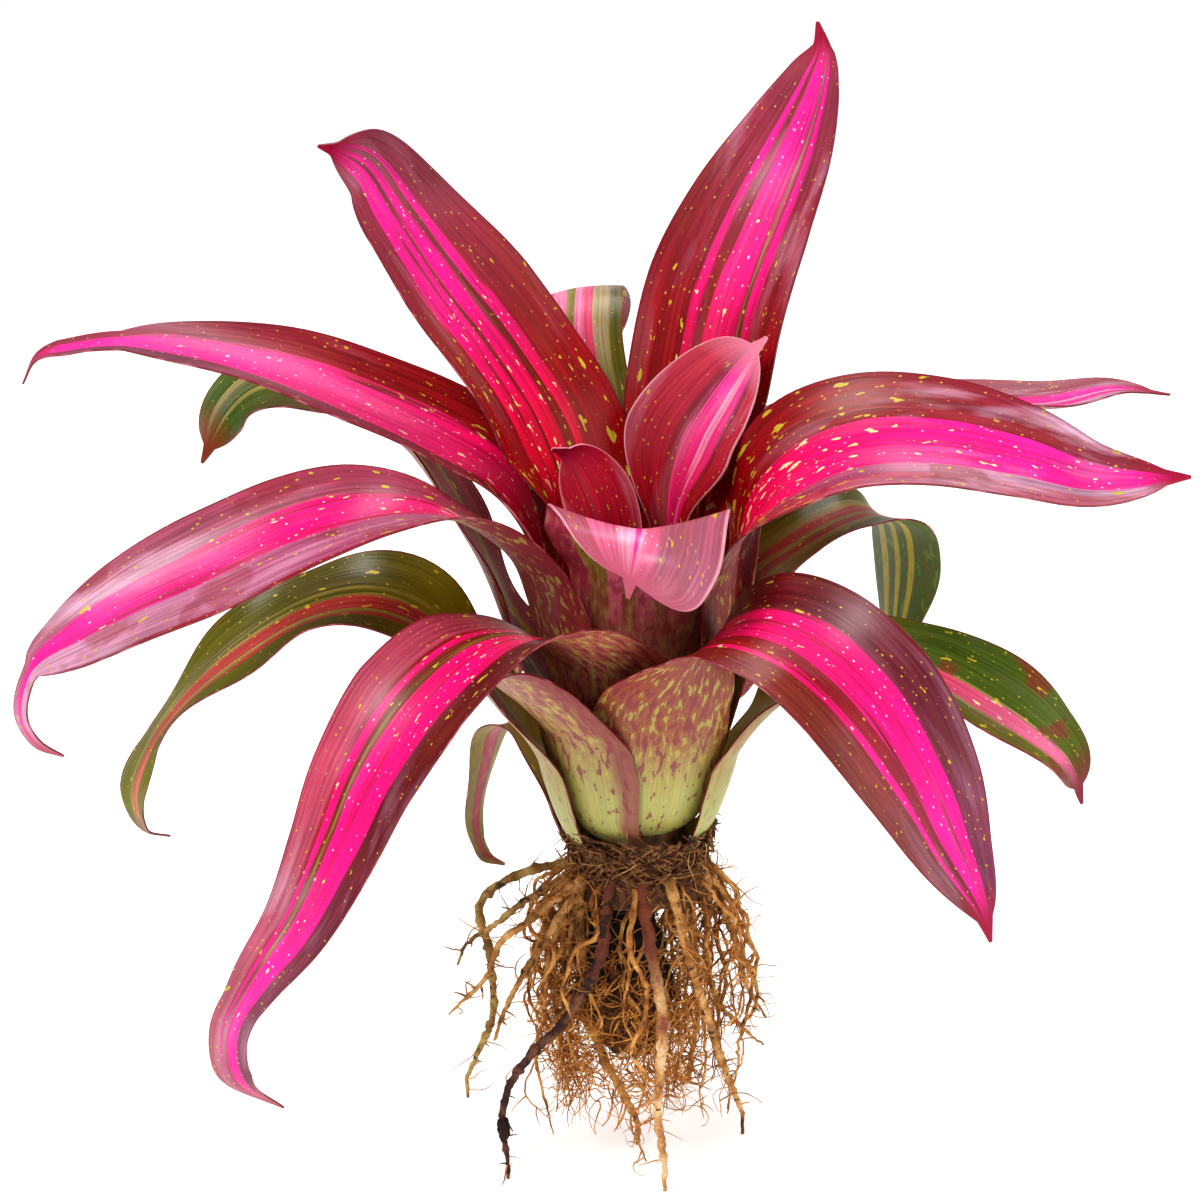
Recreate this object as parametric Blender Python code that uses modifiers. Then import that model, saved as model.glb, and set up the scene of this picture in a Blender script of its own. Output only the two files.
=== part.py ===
"""Bare-root neoregelia bromeliad: a rosette of strap leaves round a short stem, with its root mass.

Millimetres in the tables, metres in the scene, +Z up. The plant stands on its root tips at Z = 0,
with the axis of its stem on the Z axis. Azimuths are in degrees from +X, counter-clockwise from above.
"""
import math
import random
from dataclasses import dataclass

import bmesh
import bpy
import numpy as np
from mathutils import Vector, noise

MM = 0.001

# Stem
STEM_BOTTOM = 114.0
STEM_TOP = 188.0
STEM_BOTTOM_RADIUS = 23.0
STEM_TOP_RADIUS = 7.0
STEM_CROWN = 3.0
STEM_SHOULDER = 0.6
STEM_SIDES = 32

# Leaves
LEAF_THICKNESS = 0.7
LOWEST_LEAF = 122.0
LEAF_STEP = 2.75
BASE_CLEARANCE = 1.0
BULB = 4.0
BULB_RISE = 5.0
FUNNEL_SPREAD = 0.9
FUNNEL_POWER = 0.757
OPENING = 26.0
BASE_SHARE = 0.7
BASE_RISE = 40.0
SHEATH_ROWS = (0.0, 2.5, 7.0, 14.0, 23.0, 34.0, 47.0)
WIDENING_START = 0.8
TIP_CROWDING = 1.25
TIP_WIDTH = 1.2
POINT_LENGTH = 7.0
POINT_SLOPE = 0.28
POINT_SHARE = 0.16
WAVE_LENGTH = 70.0
WAVE_FADE = 30.0
LOBE_START = 10.0
LOBE_END = 32.0
LOBE_BACK = 0.35
RIB_STEP = 2.0
RISE_STEP = 8.0
SPLINE_STEPS = 16
FLATTEST = 1e-4
MERGE = 0.01

# Dry leaf bases
DRY_SEED = 5
DRY_ROWS = 4
DRY_COLUMNS = 40
DRY_FRONT = 270.0
DRY_TOP = 120.5
DRY_TONGUE = 13.0
DRY_TONGUE_POWER = 8
DRY_EDGE = 1.0
DRY_CRUMPLE = (-0.2, 0.4)
DRY_BOTTOM = 111.0
DRY_TEAR = 1.6
DRY_FLARE = 3.0
DRY_CLEARANCE = 1.2
DRY_THICKNESS = 0.8

# Roots
CROWN_TOP = 113.7
CROWN_BOTTOM = 92.0
CROWN_UPPER = 18.5
CROWN_LOWER = 14.0
CROWN_SIDES = 20
SOIL_CENTRE = (-4.0, 2.0, 70.0)
SOIL_AXES = (27.0, 24.0, 30.0)
SOIL_LUMPS = 0.35
SOIL_LUMP_SCALE = 2.3
SOIL_DETAIL = 2
ROOT_STEP = 12.0
ROOT_RESOLUTION = 1
FOOT_SHANK = 4.0
ROOTLET_LENGTH = (18.0, 38.0)
ROOTLET_SPANS = 4
ROOTLET_RADIUS = 0.8
ROOTLET_END = 0.45
ROOTLET_LOWEST = 2.5
ROOTLET_MARGIN = 3
ROOTLET_SPREAD = 0.8
ROOTLET_SLOPE = (-0.8, 0.2)
ROOTLET_WANDER = 0.45
ROOTLET_DROOP = (-0.25, 0.3)
DRAPE_COUNT = 20
DRAPE_TOP = 102.0
DRAPE_REACH = (26.0, 38.0)
DRAPE_LOWEST = (16.0, 46.0)
DRAPE_JITTER = 14.0
DRAPE_SPANS = 7
DRAPE_START = 7.0
DRAPE_ARCH = 0.75
DRAPE_EASE = 0.8
DRAPE_FALL = 1.2
DRAPE_WANDER = 0.09
DRAPE_RADIUS = 1.3
GOLDEN_ANGLE = 137.5
ROOT_SEED = 11
FUSE_SOLVER = "EXACT"

# Linear colour and roughness of each finish
LEAF_SKIN = ((0.62, 0.05, 0.18), 0.42)
STEM_FLESH = ((0.45, 0.47, 0.22), 0.6)
DRY_FIBRE = ((0.22, 0.13, 0.06), 0.85)
ROOT_BARK = ((0.36, 0.22, 0.11), 0.85)


@dataclass(frozen=True)
class Leaf:
    """One leaf: where it grows from, the way its midrib runs and the outline of its blade."""

    name: str
    order: float
    azimuth: float
    sheath: float
    facing: float
    route: tuple
    width: float = 50.0
    base: float = 44.0
    taper: float = 30.0
    fullness: float = 2.0
    widening: float = 30.0
    delay: float = 0.0
    roll: tuple = (0.0, 0.0)
    ramp: tuple = (0.0, 70.0)
    narrow: float = 0.0
    cup: float = 26.0
    wave: float = 0.0
    lobe: float = 0.0
    tail: float = 0.0
    end: float = 0.0
    rows: int = 18
    columns: int = 6


LEAVES = (
    Leaf("leaf_01_back_left_hanging", 0, 150, 24, 140, width=20, base=30, taper=70, fullness=1.5,
         roll=(0, 0), cup=16, wave=1, rows=15, columns=4,
         route=((-44, 46, 160), (-56, 62, 154), (-62, 74, 132), (-66, 78, 108), (-62, 80, 92),
                (-54, 80, 88))),
    Leaf("leaf_02_back_low", 1, 70, 24, 70, width=40, base=40, taper=70, fullness=1.5,
         cup=20, wave=2, rows=15, columns=4,
         route=((24, 62, 172), (34, 92, 176), (40, 120, 160), (40, 138, 134))),
    Leaf("leaf_03_left_curled", 2, 188, 40, 183, width=40, base=46, taper=140, fullness=1.4,
         roll=(-30, -40), cup=30, wave=3, tail=30, end=10, rows=21,
         route=((-68, 2, 206), (-84, 3, 222), (-103, 4, 228), (-126, 6, 223), (-152, 8, 207),
                (-174, 10, 187), (-190, 12, 164), (-197, 14, 143), (-193, 16, 128), (-184, 20, 124))),
    Leaf("leaf_04_right_hanging", 3, 350, 40, 353, width=37, base=46, taper=45, fullness=2.0,
         roll=(30, 40), cup=30, wave=3, rows=20,
         route=((65, 2, 197), (88, 2, 205), (111, 0, 202), (132, -4, 192), (152, -8, 179),
                (165, -10, 166), (170, -10, 149))),
    Leaf("leaf_05_back_left_low", 4, 112, 30, 112, width=40, base=42, taper=80, fullness=1.5,
         cup=20, wave=2, rows=15, columns=4,
         route=((-26, 68, 178), (-40, 98, 182), (-50, 124, 168), (-54, 140, 140))),
    Leaf("leaf_06_front_left_low", 5, 226, 46, 228, width=46, base=54, taper=90, fullness=1.6,
         roll=(0, 0), cup=24, wave=1, rows=16,
         route=((-48, -45, 208), (-63, -60, 220), (-77, -72, 211), (-90, -80, 191), (-99, -84, 165))),
    Leaf("leaf_07_front_right", 6.3, 285, 56, 300, width=54, base=60, taper=95, fullness=1.5,
         roll=(29, 0), ramp=(0, 45), cup=24, rows=20,
         route=((22, -52, 225), (38, -68, 239), (60, -84, 237), (81, -96, 221), (99, -104, 195),
                (112, -108, 168), (122, -110, 148), (126, -110, 134))),
    Leaf("leaf_08_right_arching", 7.6, 28, 44, 35, width=46, base=46, taper=90, fullness=1.6,
         roll=(0, 0), ramp=(30, 90), cup=26, wave=2, rows=18,
         route=((43, 40, 222), (60, 52, 232), (77, 63, 239), (91, 71, 241), (101, 79, 235),
                (105, 84, 219), (105, 88, 198), (103, 88, 177), (100, 84, 159))),
    Leaf("leaf_09_left_back", 8.6, 164, 44, 160, width=42, base=54, taper=60, fullness=1.9,
         roll=(25, -80), cup=28, wave=2, rows=18,
         route=((-50, 14, 214), (-62, 20, 240), (-79, 32, 268), (-95, 44, 284), (-113, 56, 292),
                (-133, 66, 295), (-150, 71, 292), (-162, 73, 281), (-172, 70, 262))),
    Leaf("leaf_10_back_middle", 9.6, 66, 50, 66, width=46, base=46, taper=50, fullness=1.8,
         cup=22, wave=1, rows=16, columns=4,
         route=((26, 56, 236), (42, 90, 256), (56, 122, 250), (64, 146, 226))),
    Leaf("leaf_11_front_left", 10.6, 252, 60, 246, width=50, base=58, taper=185, fullness=1.05,
         roll=(0, 0), cup=24, rows=22,
         route=((-35, -56, 231), (-58, -78, 235), (-80, -94, 221), (-98, -104, 196),
                (-110, -110, 170), (-124, -110, 141), (-141, -106, 115), (-151, -100, 93),
                (-149, -94, 72), (-133, -86, 57))),
    Leaf("leaf_12_right_back", 11.6, 14, 64, 20, width=44, base=50, taper=80, fullness=1.8,
         roll=(0, 0), cup=30, rows=18,
         route=((51, 42, 276), (87, 62, 284), (124, 78, 283), (165, 90, 281), (191, 96, 285),
                (212, 92, 284))),
    Leaf("leaf_13_left_front", 12.6, 212, 62, 212, width=46, base=52, taper=80, fullness=1.6,
         roll=(-30, -30), ramp=(50, 140), cup=30, tail=40, end=6, rows=21,
         route=((-42, -25, 246), (-56, -33, 263), (-75, -42, 275), (-98, -51, 278),
                (-125, -58, 273), (-157, -65, 260), (-187, -70, 247), (-206, -71, 236),
                (-220, -70, 226), (-226, -67, 213), (-227, -62, 201), (-222, -57, 190),
                (-214, -52, 184))),
    Leaf("leaf_14_right", 13.6, 345, 54, 345, width=60, base=47, taper=140, fullness=1.55,
         roll=(35, 45), cup=34, widening=70, narrow=22, delay=16, rows=19,
         route=((36, -10, 244), (43, -14, 268), (58, -18, 285), (81, -22, 296), (110, -26, 298),
                (140, -28, 293), (168, -28, 285), (204, -22, 283))),
    Leaf("leaf_15_left", 14.6, 172, 54, 172, width=57, base=46, taper=125, fullness=1.6,
         roll=(-16, -16), cup=34, widening=60, delay=16, tail=30, end=13, rows=22,
         route=((-38, 5, 240), (-44, 7, 260), (-55, 10, 276), (-78, 14, 289), (-106, 18, 301),
                (-136, 20, 313), (-166, 19, 321), (-194, 16, 325), (-213, 12, 324), (-226, 7, 321),
                (-231, 3, 312))),
    Leaf("leaf_16_back", 16.0, 97, 48, 97, width=38, base=36, taper=40, fullness=1.9,
         roll=(-8, -8), cup=-16, widening=60, rows=18,
         route=((-6, 37, 236), (-11, 45, 260), (-20, 52, 288), (-25, 68, 313), (-25, 88, 325),
                (-24, 112, 322), (-20, 134, 306), (-18, 150, 278))),
    Leaf("leaf_17_tall_right", 17.3, 60, 54, 68, width=60, base=44, taper=105, fullness=1.5,
         cup=24, widening=85, narrow=20, delay=46, rows=19,
         route=((17, 29, 246), (19, 33, 272), (24, 41, 300), (31, 48, 334), (43, 54, 364),
                (57, 60, 393), (66, 61, 416), (69, 59, 428), (67, 56, 439))),
    Leaf("leaf_18_tall_left", 18.6, 140, 50, 130, width=63, base=44, taper=90, fullness=1.5,
         cup=24, widening=70, delay=40, rows=19,
         route=((-24, 19, 246), (-27, 22, 270), (-36, 27, 293), (-52, 35, 317), (-73, 42, 344),
                (-91, 46, 369), (-102, 42, 387), (-111, 34, 394), (-120, 24, 398))),
    Leaf("leaf_19_front_lip", 19.6, 273, 74, 270, width=70, base=60, taper=34, fullness=2.1,
         roll=(-6, -6), ramp=(0, 24), cup=12, lobe=26, rows=17, columns=8,
         route=((-1, -42, 261), (-2, -52, 272), (-3, -64, 270), (-4, -70, 263), (-5, -72, 252))),
    Leaf("leaf_20_inner_right", 20.6, 48, 34, 60, width=50, base=14, taper=50, fullness=1.9,
         cup=34, widening=75, narrow=42, rows=15,
         route=((12, 18, 240), (12, 21, 265), (18, 23, 285), (27, 24, 300), (37, 23, 314),
                (48, 19, 326))),
    Leaf("leaf_21_inner_left", 21.6, 168, 26, 120, width=32, base=24, taper=26, fullness=1.9,
         cup=36, widening=50, rows=14,
         route=((-14, 4, 226), (-14, 4, 242), (-15, 4, 258), (-20, 3, 273), (-27, 0, 285),
                (-33, -5, 289))),
    Leaf("leaf_22_heart", 22.6, 320, 24, 320, width=26, base=30, taper=24, fullness=1.8,
         cup=50, rows=11,
         route=((11, -10, 230), (10, -9, 250), (13, -12, 262))),
)


@dataclass(frozen=True)
class Root:
    """One main root: its radius at the crown and at the end, its route and the thin roots on it."""

    start: float
    end: float
    route: tuple
    rootlets: int = 3
    foot: bool = False


ROOTS = (
    Root(2.8, 1.7, ((-6, -8, 104), (-12, -24, 102), (-15, -30, 93), (-21, -32, 81), (-30, -34, 67),
                    (-38, -34, 59), (-50, -32, 41), (-53, -30, 21), (-51, -30, 8)), foot=True),
    Root(2.2, 1.2, ((-8, -6, 102), (-30, -20, 97), (-42, -24, 88), (-50, -26, 74), (-56, -28, 58))),
    Root(2.2, 1.0, ((-8, -6, 106), (-30, -16, 108), (-42, -17, 104), (-54, -16, 93), (-59, -14, 79),
                    (-66, -12, 70), (-74, -10, 61))),
    Root(2.1, 1.0, ((-8, -2, 104), (-31, -4, 109), (-44, 0, 105), (-56, 2, 94), (-68, 4, 84),
                    (-71, 4, 76))),
    Root(2.8, 2.0, ((-1, -8, 104), (1, -26, 102), (6, -35, 90), (9, -40, 72), (8, -44, 53),
                    (7, -44, 36), (9, -43, 20), (10, -41, 9)), foot=True),
    Root(2.4, 1.6, ((4, -6, 104), (12, -22, 100), (20, -24, 88), (26, -20, 67), (31, -12, 47),
                    (38, 3, 22), (42, 10, 8)), foot=True),
    Root(1.7, 1.0, ((8, -2, 103), (26, 2, 105), (36, 6, 92), (40, 8, 81), (45, 8, 70), (47, 6, 60),
                    (42, 2, 51))),
    Root(2.1, 1.0, ((6, -4, 102), (20, -4, 92), (27, 2, 75), (33, 6, 57), (42, 10, 46),
                    (50, 12, 38))),
    Root(2.1, 1.7, ((-8, 6, 104), (-30, 16, 109), (-46, 18, 109), (-58, 20, 101), (-63, 22, 92),
                    (-60, 24, 78), (-58, 26, 60), (-58, 30, 43), (-64, 38, 24), (-69, 44, 9)),
         foot=True),
    Root(2.4, 2.2, ((-2, -2, 100), (-15, -10, 76), (-15, -8, 45), (-6, -3, 24), (0, 0, 9)), foot=True),
    Root(2.4, 1.7, ((2, 6, 104), (14, 26, 96), (22, 42, 74), (25, 54, 42), (24, 60, 20),
                    (22, 61, 8)), foot=True),
    Root(2.4, 1.7, ((-2, 6, 104), (-16, 26, 98), (-27, 44, 76), (-30, 54, 44), (-28, 60, 22),
                    (-28, 61, 8)), foot=True),
    Root(2.1, 1.0, ((6, 4, 104), (26, 14, 98), (38, 24, 80), (44, 30, 56), (52, 34, 40))),
)


def stem_radius(height):
    """Radius of the stem at a height, both in mm."""
    along = (height - STEM_BOTTOM) / (STEM_TOP - STEM_BOTTOM)
    return STEM_BOTTOM_RADIUS + (STEM_TOP_RADIUS - STEM_BOTTOM_RADIUS) * along


def smooth(value, start, end):
    """0 up to start, 1 from end on, and a smooth step between them."""
    part = np.clip((value - start) / (end - start), 0.0, 1.0)
    return part * part * (3.0 - 2.0 * part)


def sheath_point(leaf, rise):
    """Point of the midrib on the funnel of sheaths, rise mm above the place it grows from."""
    root = LOWEST_LEAF + LEAF_STEP * leaf.order
    bulb = BULB * (1.0 - math.exp(-rise / BULB_RISE))
    radius = stem_radius(root) + BASE_CLEARANCE + bulb + FUNNEL_SPREAD * rise ** FUNNEL_POWER
    angle = math.radians(leaf.azimuth)
    return np.array((radius * math.cos(angle), radius * math.sin(angle), root + rise))


def spline(points):
    """Fine points of a centripetal Catmull-Rom curve through the points given."""
    ends = [2 * points[0] - points[1], *points, 2 * points[-1] - points[-2]]
    fine = []
    for p0, p1, p2, p3 in zip(ends, ends[1:], ends[2:], ends[3:]):
        t1 = np.linalg.norm(p1 - p0) ** 0.5
        t2 = t1 + np.linalg.norm(p2 - p1) ** 0.5
        t3 = t2 + np.linalg.norm(p3 - p2) ** 0.5
        for t in np.linspace(t1, t2, SPLINE_STEPS, endpoint=False):
            a1 = ((t1 - t) * p0 + t * p1) / t1
            a2 = ((t2 - t) * p1 + (t - t1) * p2) / (t2 - t1)
            a3 = ((t3 - t) * p2 + (t - t2) * p3) / (t3 - t2)
            b1 = ((t2 - t) * a1 + t * a2) / t2
            b2 = ((t3 - t) * a2 + (t - t1) * a3) / (t3 - t1)
            fine.append(((t2 - t) * b1 + (t - t1) * b2) / (t2 - t1))
    fine.append(points[-1])
    return np.array(fine)


def distances(points):
    """Distance of each point of a curve from its first point, along the curve."""
    steps = np.linalg.norm(np.diff(points, axis=0), axis=1)
    return np.concatenate(((0.0,), np.cumsum(steps)))


def sampled(values, place, wanted):
    """Rows of values known at the places along a curve, read off at the places wanted."""
    return np.stack([np.interp(wanted, place, values[:, axis]) for axis in range(3)], axis=1)


def even(points, step):
    """The same curve as points at equal steps close to the step given, with its length."""
    along = distances(points)
    wanted = np.linspace(0.0, along[-1], int(along[-1] / step) + 2)
    return sampled(points, along, wanted), along[-1]


def midrib(leaf):
    """Midrib from the stem to the tip at even steps, its length, and where its sheath ends."""
    spans = round((leaf.sheath - SHEATH_ROWS[2]) / RISE_STEP)
    rises = (*SHEATH_ROWS[:2], *np.linspace(SHEATH_ROWS[2], leaf.sheath, spans + 1))
    points = [sheath_point(leaf, rise) for rise in rises]
    throat = distances(np.array(points))[-1]
    points += [np.array(point, dtype=float) for point in leaf.route]
    return *even(spline(points), RIB_STEP), throat


def half_width(leaf, along, length, throat):
    """Half the width of a leaf at distances along its midrib, in mm."""
    widened = smooth(along, WIDENING_START * throat + leaf.narrow, throat + leaf.widening)
    half = leaf.base + (leaf.width - leaf.base) * widened
    half = half * (BASE_SHARE + (1.0 - BASE_SHARE) * smooth(along, 0.0, BASE_RISE))
    shoulder = length - POINT_LENGTH - leaf.tail - leaf.taper
    part = np.clip((along - shoulder) / leaf.taper, 0.0, 1.0)
    half = 0.5 * half * (1.0 - part ** leaf.fullness) ** (1.0 / leaf.fullness)
    point = 0.5 * TIP_WIDTH + POINT_SLOPE * (length - along)
    end = 0.5 * leaf.end if leaf.end else POINT_SHARE * leaf.width
    return np.maximum(half, np.minimum(point, end))


def unit(vectors):
    """The vectors at length 1."""
    return vectors / np.linalg.norm(vectors, axis=-1, keepdims=True)


def stations(length, rows):
    """Distances of the rows along a midrib: close together at the base and again at the tip."""
    lowest = np.array(SHEATH_ROWS)
    shares = 1.0 - (1.0 - np.linspace(0.0, 1.0, rows - len(lowest) + 1)) ** TIP_CROWDING
    return np.concatenate((lowest[:-1], lowest[-1] + shares * (length - lowest[-1])))


def sheet(leaf, rows, columns):
    """Mid surface of a leaf as rows x columns points in mm, from the stem out and from side to side."""
    rib, length, throat = midrib(leaf)
    tangents = unit(np.gradient(rib, axis=0))
    along = stations(length, rows)
    steps = along / length
    place = np.linspace(0.0, length, len(rib))
    centre = sampled(rib, place, along)
    tangent = unit(sampled(tangents, place, along))

    opening = throat + leaf.delay
    open_part = smooth(along, opening, opening + OPENING)[:, None]
    side = math.radians(leaf.azimuth)
    outward = np.array((math.cos(side), math.sin(side), 0.0))
    sheath_across = np.array((-math.sin(side), math.cos(side), 0.0))
    facing = math.radians(leaf.facing)
    level = np.array((-math.sin(facing), math.cos(facing), 0.0))
    level = unit(level - (tangent @ level)[:, None] * tangent)
    normal = np.cross(tangent, level)
    ramp = smooth(along, opening + leaf.ramp[0], opening + leaf.ramp[1])
    turn = np.radians(leaf.roll[0] + (leaf.roll[1] - leaf.roll[0]) * steps ** 3)
    turn = (ramp * turn)[:, None]
    across = np.cos(turn) * level + np.sin(turn) * normal
    normal = np.cross(tangent, across)
    across = unit(sheath_across * (1.0 - open_part) + across * open_part)
    normal = -outward * (1.0 - open_part) + normal * open_part
    normal = unit(normal - (normal * across).sum(axis=1)[:, None] * across)

    half = half_width(leaf, along, length, throat)[:, None]
    radius = np.hypot(centre[:, 0], centre[:, 1])[:, None]
    cup = math.radians(leaf.cup) / (0.5 * leaf.width)
    bend = (1.0 - open_part) / radius + open_part * cup
    bend = np.where(np.abs(bend) < FLATTEST, FLATTEST, bend)
    share = np.linspace(-1.0, 1.0, columns)[None, :]
    angle = share * half * bend
    aside = np.sin(angle) / bend
    rise = (1.0 - np.cos(angle)) / bend
    ripple = np.sin(2.0 * math.pi * along / WAVE_LENGTH)[:, None] * np.sign(share)
    fade = open_part * np.clip((length - along) / WAVE_FADE, 0.0, 1.0)[:, None]
    rise = rise + leaf.wave * fade * ripple * share ** 2
    ahead = leaf.lobe * smooth(along, opening + LOBE_START, opening + LOBE_END)[:, None]
    ahead = ahead * half / (0.5 * leaf.width) * np.maximum(share, LOBE_BACK * share)
    points = centre[:, None] + aside[..., None] * across[:, None] + rise[..., None] * normal[:, None]
    return points + ahead[..., None] * tangent[:, None]


def material(name, colour, roughness):
    """A Principled material of one plain colour, which is not metal."""
    made = bpy.data.materials.new(name)
    made.use_nodes = True
    shader = made.node_tree.nodes["Principled BSDF"]
    shader.inputs["Base Color"].default_value = (*colour, 1.0)
    shader.inputs["Roughness"].default_value = roughness
    shader.inputs["Metallic"].default_value = 0.0
    return made


def add_object(name, mesh, finish):
    """Link a bmesh as a named object with its material, shaded smooth."""
    data = bpy.data.meshes.new(name)
    mesh.to_mesh(data)
    mesh.free()
    data.materials.append(finish)
    data.polygons.foreach_set("use_smooth", [True] * len(data.polygons))
    made = bpy.data.objects.new(name, data)
    bpy.context.scene.collection.objects.link(made)
    return made


def thicken(made, thickness):
    """Give an open surface its thickness, half to each side."""
    shell = made.modifiers.new("thickness", "SOLIDIFY")
    shell.thickness = thickness * MM
    shell.offset = 0.0


def grid_object(name, points, finish, thickness, closed=False):
    """A sheet through rows x columns of points, cut into like triangles, and thickened."""
    rows, columns = points.shape[:2]
    mesh = bmesh.new()
    bmesh.ops.create_grid(mesh, x_segments=columns - 1, y_segments=rows - 1, size=0.5)
    for vert in mesh.verts:
        row = round((vert.co.y + 0.5) * (rows - 1))
        column = round((vert.co.x + 0.5) * (columns - 1))
        vert.co = points[row, column] * MM
    if closed:
        bmesh.ops.remove_doubles(mesh, verts=mesh.verts, dist=MERGE * MM)
    bmesh.ops.triangulate(mesh, faces=mesh.faces, quad_method="FIXED")
    made = add_object(name, mesh, finish)
    thicken(made, thickness)
    return made


def add_leaves(finish):
    """Every leaf of the rosette, each an object of its own."""
    for leaf in LEAVES:
        points = sheet(leaf, leaf.rows, leaf.columns + 1)
        grid_object(leaf.name, points, finish, LEAF_THICKNESS)


def add_stem(finish):
    """The short stem that the leaves grow from, turned from its profile."""
    mesh = bmesh.new()
    profile = (
        (0.0, STEM_TOP + STEM_CROWN),
        (STEM_SHOULDER * STEM_TOP_RADIUS, STEM_TOP + (1.0 - STEM_SHOULDER ** 2) * STEM_CROWN),
        (STEM_TOP_RADIUS, STEM_TOP),
        (STEM_BOTTOM_RADIUS, STEM_BOTTOM),
        (0.0, STEM_BOTTOM),
    )
    verts = [mesh.verts.new((radius * MM, 0.0, height * MM)) for radius, height in profile]
    for start, end in zip(verts, verts[1:]):
        mesh.edges.new((start, end))
    made = add_object("stem", mesh, finish)
    turn = made.modifiers.new("turn", "SCREW")
    turn.axis = "Z"
    turn.steps = STEM_SIDES
    turn.render_steps = STEM_SIDES
    turn.use_merge_vertices = True
    turn.merge_threshold = MERGE * MM
    turn.use_smooth_shade = True


def add_dry_bases(finish):
    """The torn brown ring of old leaf bases round the foot of the stem."""
    draw = random.Random(DRY_SEED)
    points = np.zeros((DRY_ROWS, DRY_COLUMNS + 1, 3))
    for column in range(DRY_COLUMNS):
        angle = 2.0 * math.pi * column / DRY_COLUMNS
        front = max(0.0, math.cos(angle - math.radians(DRY_FRONT)))
        top = DRY_TOP + DRY_TONGUE * front ** DRY_TONGUE_POWER + draw.uniform(-DRY_EDGE, DRY_EDGE)
        bottom = DRY_BOTTOM + draw.uniform(-DRY_TEAR, DRY_TEAR)
        for row in range(DRY_ROWS):
            share = row / (DRY_ROWS - 1)
            height = top + (bottom - top) * share
            flare = DRY_FLARE * share ** 2 + draw.uniform(*DRY_CRUMPLE)
            radius = stem_radius(max(height, STEM_BOTTOM)) + DRY_CLEARANCE + flare
            points[row, column] = (radius * math.cos(angle), radius * math.sin(angle), height)
    points[:, DRY_COLUMNS] = points[:, 0]
    grid_object("dry_leaf_bases", points, finish, DRY_THICKNESS, closed=True)


def add_tube(name, points, radii, resolution, group):
    """A closed tube along the points, with a radius at each, as a mesh in the group."""
    curve = bpy.data.curves.new(name, "CURVE")
    curve.dimensions = "3D"
    curve.bevel_depth = MM
    curve.bevel_resolution = resolution
    curve.use_fill_caps = True
    line = curve.splines.new("POLY")
    line.points.add(len(points) - 1)
    for spot, point, radius in zip(line.points, points, radii):
        spot.co = (*(Vector(point) * MM), 1.0)
        spot.radius = radius
    holder = bpy.data.objects.new(name, curve)
    mesh = bmesh.new()
    mesh.from_mesh(bpy.data.meshes.new_from_object(holder))
    bmesh.ops.remove_doubles(mesh, verts=mesh.verts, dist=MERGE * MM)
    bmesh.ops.recalc_face_normals(mesh, faces=mesh.faces)
    data = bpy.data.meshes.new(name)
    mesh.to_mesh(data)
    mesh.free()
    bpy.data.objects.remove(holder)
    bpy.data.curves.remove(curve)
    group.objects.link(bpy.data.objects.new(name, data))


def root_points(root):
    """Points of a main root at steps of about ROOT_STEP, and its radius at each."""
    points = [np.array(point, dtype=float) for point in root.route]
    if root.foot:
        x, y, z = root.route[-1]
        points.append(np.array((x, y, FOOT_SHANK)))
    fine = even(spline(points), ROOT_STEP)[0]
    if root.foot:
        fine = np.vstack((fine, (x, y, 0.0)))
    shares = np.linspace(0.0, 1.0, len(fine))
    return fine, root.start + (root.end - root.start) * shares


def rootlet_points(draw, start):
    """A thin root that leaves a main root outward and droops."""
    away = Vector((start[0], start[1], 0.0)).normalized()
    spread = [draw.gauss(0.0, ROOTLET_SPREAD) for _ in range(2)]
    course = Vector((*spread, draw.uniform(*ROOTLET_SLOPE))) + away
    length = draw.uniform(*ROOTLET_LENGTH)
    points = [Vector(start)]
    for _ in range(ROOTLET_SPANS):
        wander = [draw.gauss(0.0, ROOTLET_WANDER) for _ in range(2)]
        bend = Vector((*wander, draw.gauss(*ROOTLET_DROOP)))
        course = (course.normalized() + bend).normalized()
        step = points[-1] + course * length / ROOTLET_SPANS
        step.z = max(step.z, ROOTLET_LOWEST)
        points.append(step)
    return points


def draped_points(draw, azimuth):
    """A thin root that springs from the crown and hangs down over the soil."""
    angle = math.radians(azimuth + draw.uniform(-DRAPE_JITTER, DRAPE_JITTER))
    reach = draw.uniform(*DRAPE_REACH)
    lowest = draw.uniform(*DRAPE_LOWEST)
    points = []
    for index in range(DRAPE_SPANS + 1):
        share = index / DRAPE_SPANS
        radius = DRAPE_START + reach * math.sin(DRAPE_ARCH * math.pi * share ** DRAPE_EASE)
        angle += draw.gauss(0.0, DRAPE_WANDER)
        height = DRAPE_TOP + (lowest - DRAPE_TOP) * share ** DRAPE_FALL
        points.append((radius * math.cos(angle), radius * math.sin(angle), height))
    return points


def add_thin_root(name, points, start, group):
    """A tube along the points that thins from the start radius to the end of a rootlet."""
    radii = np.linspace(start, ROOTLET_END, len(points))
    add_tube(name, points, radii, 0, group)


def add_roots(draw, group):
    """The thin roots draped over the soil, and the main roots with the thin roots on them."""
    for number in range(DRAPE_COUNT):
        course = draped_points(draw, number * GOLDEN_ANGLE)
        add_thin_root(f"draped_{number}", course, DRAPE_RADIUS, group)
    for number, root in enumerate(ROOTS):
        points, radii = root_points(root)
        add_tube(f"root_{number}", points, radii, ROOT_RESOLUTION, group)
        for twig in range(root.rootlets):
            place = draw.randint(ROOTLET_MARGIN, len(points) - ROOTLET_MARGIN)
            course = rootlet_points(draw, points[place])
            add_thin_root(f"rootlet_{number}_{twig}", course, ROOTLET_RADIUS, group)


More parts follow.
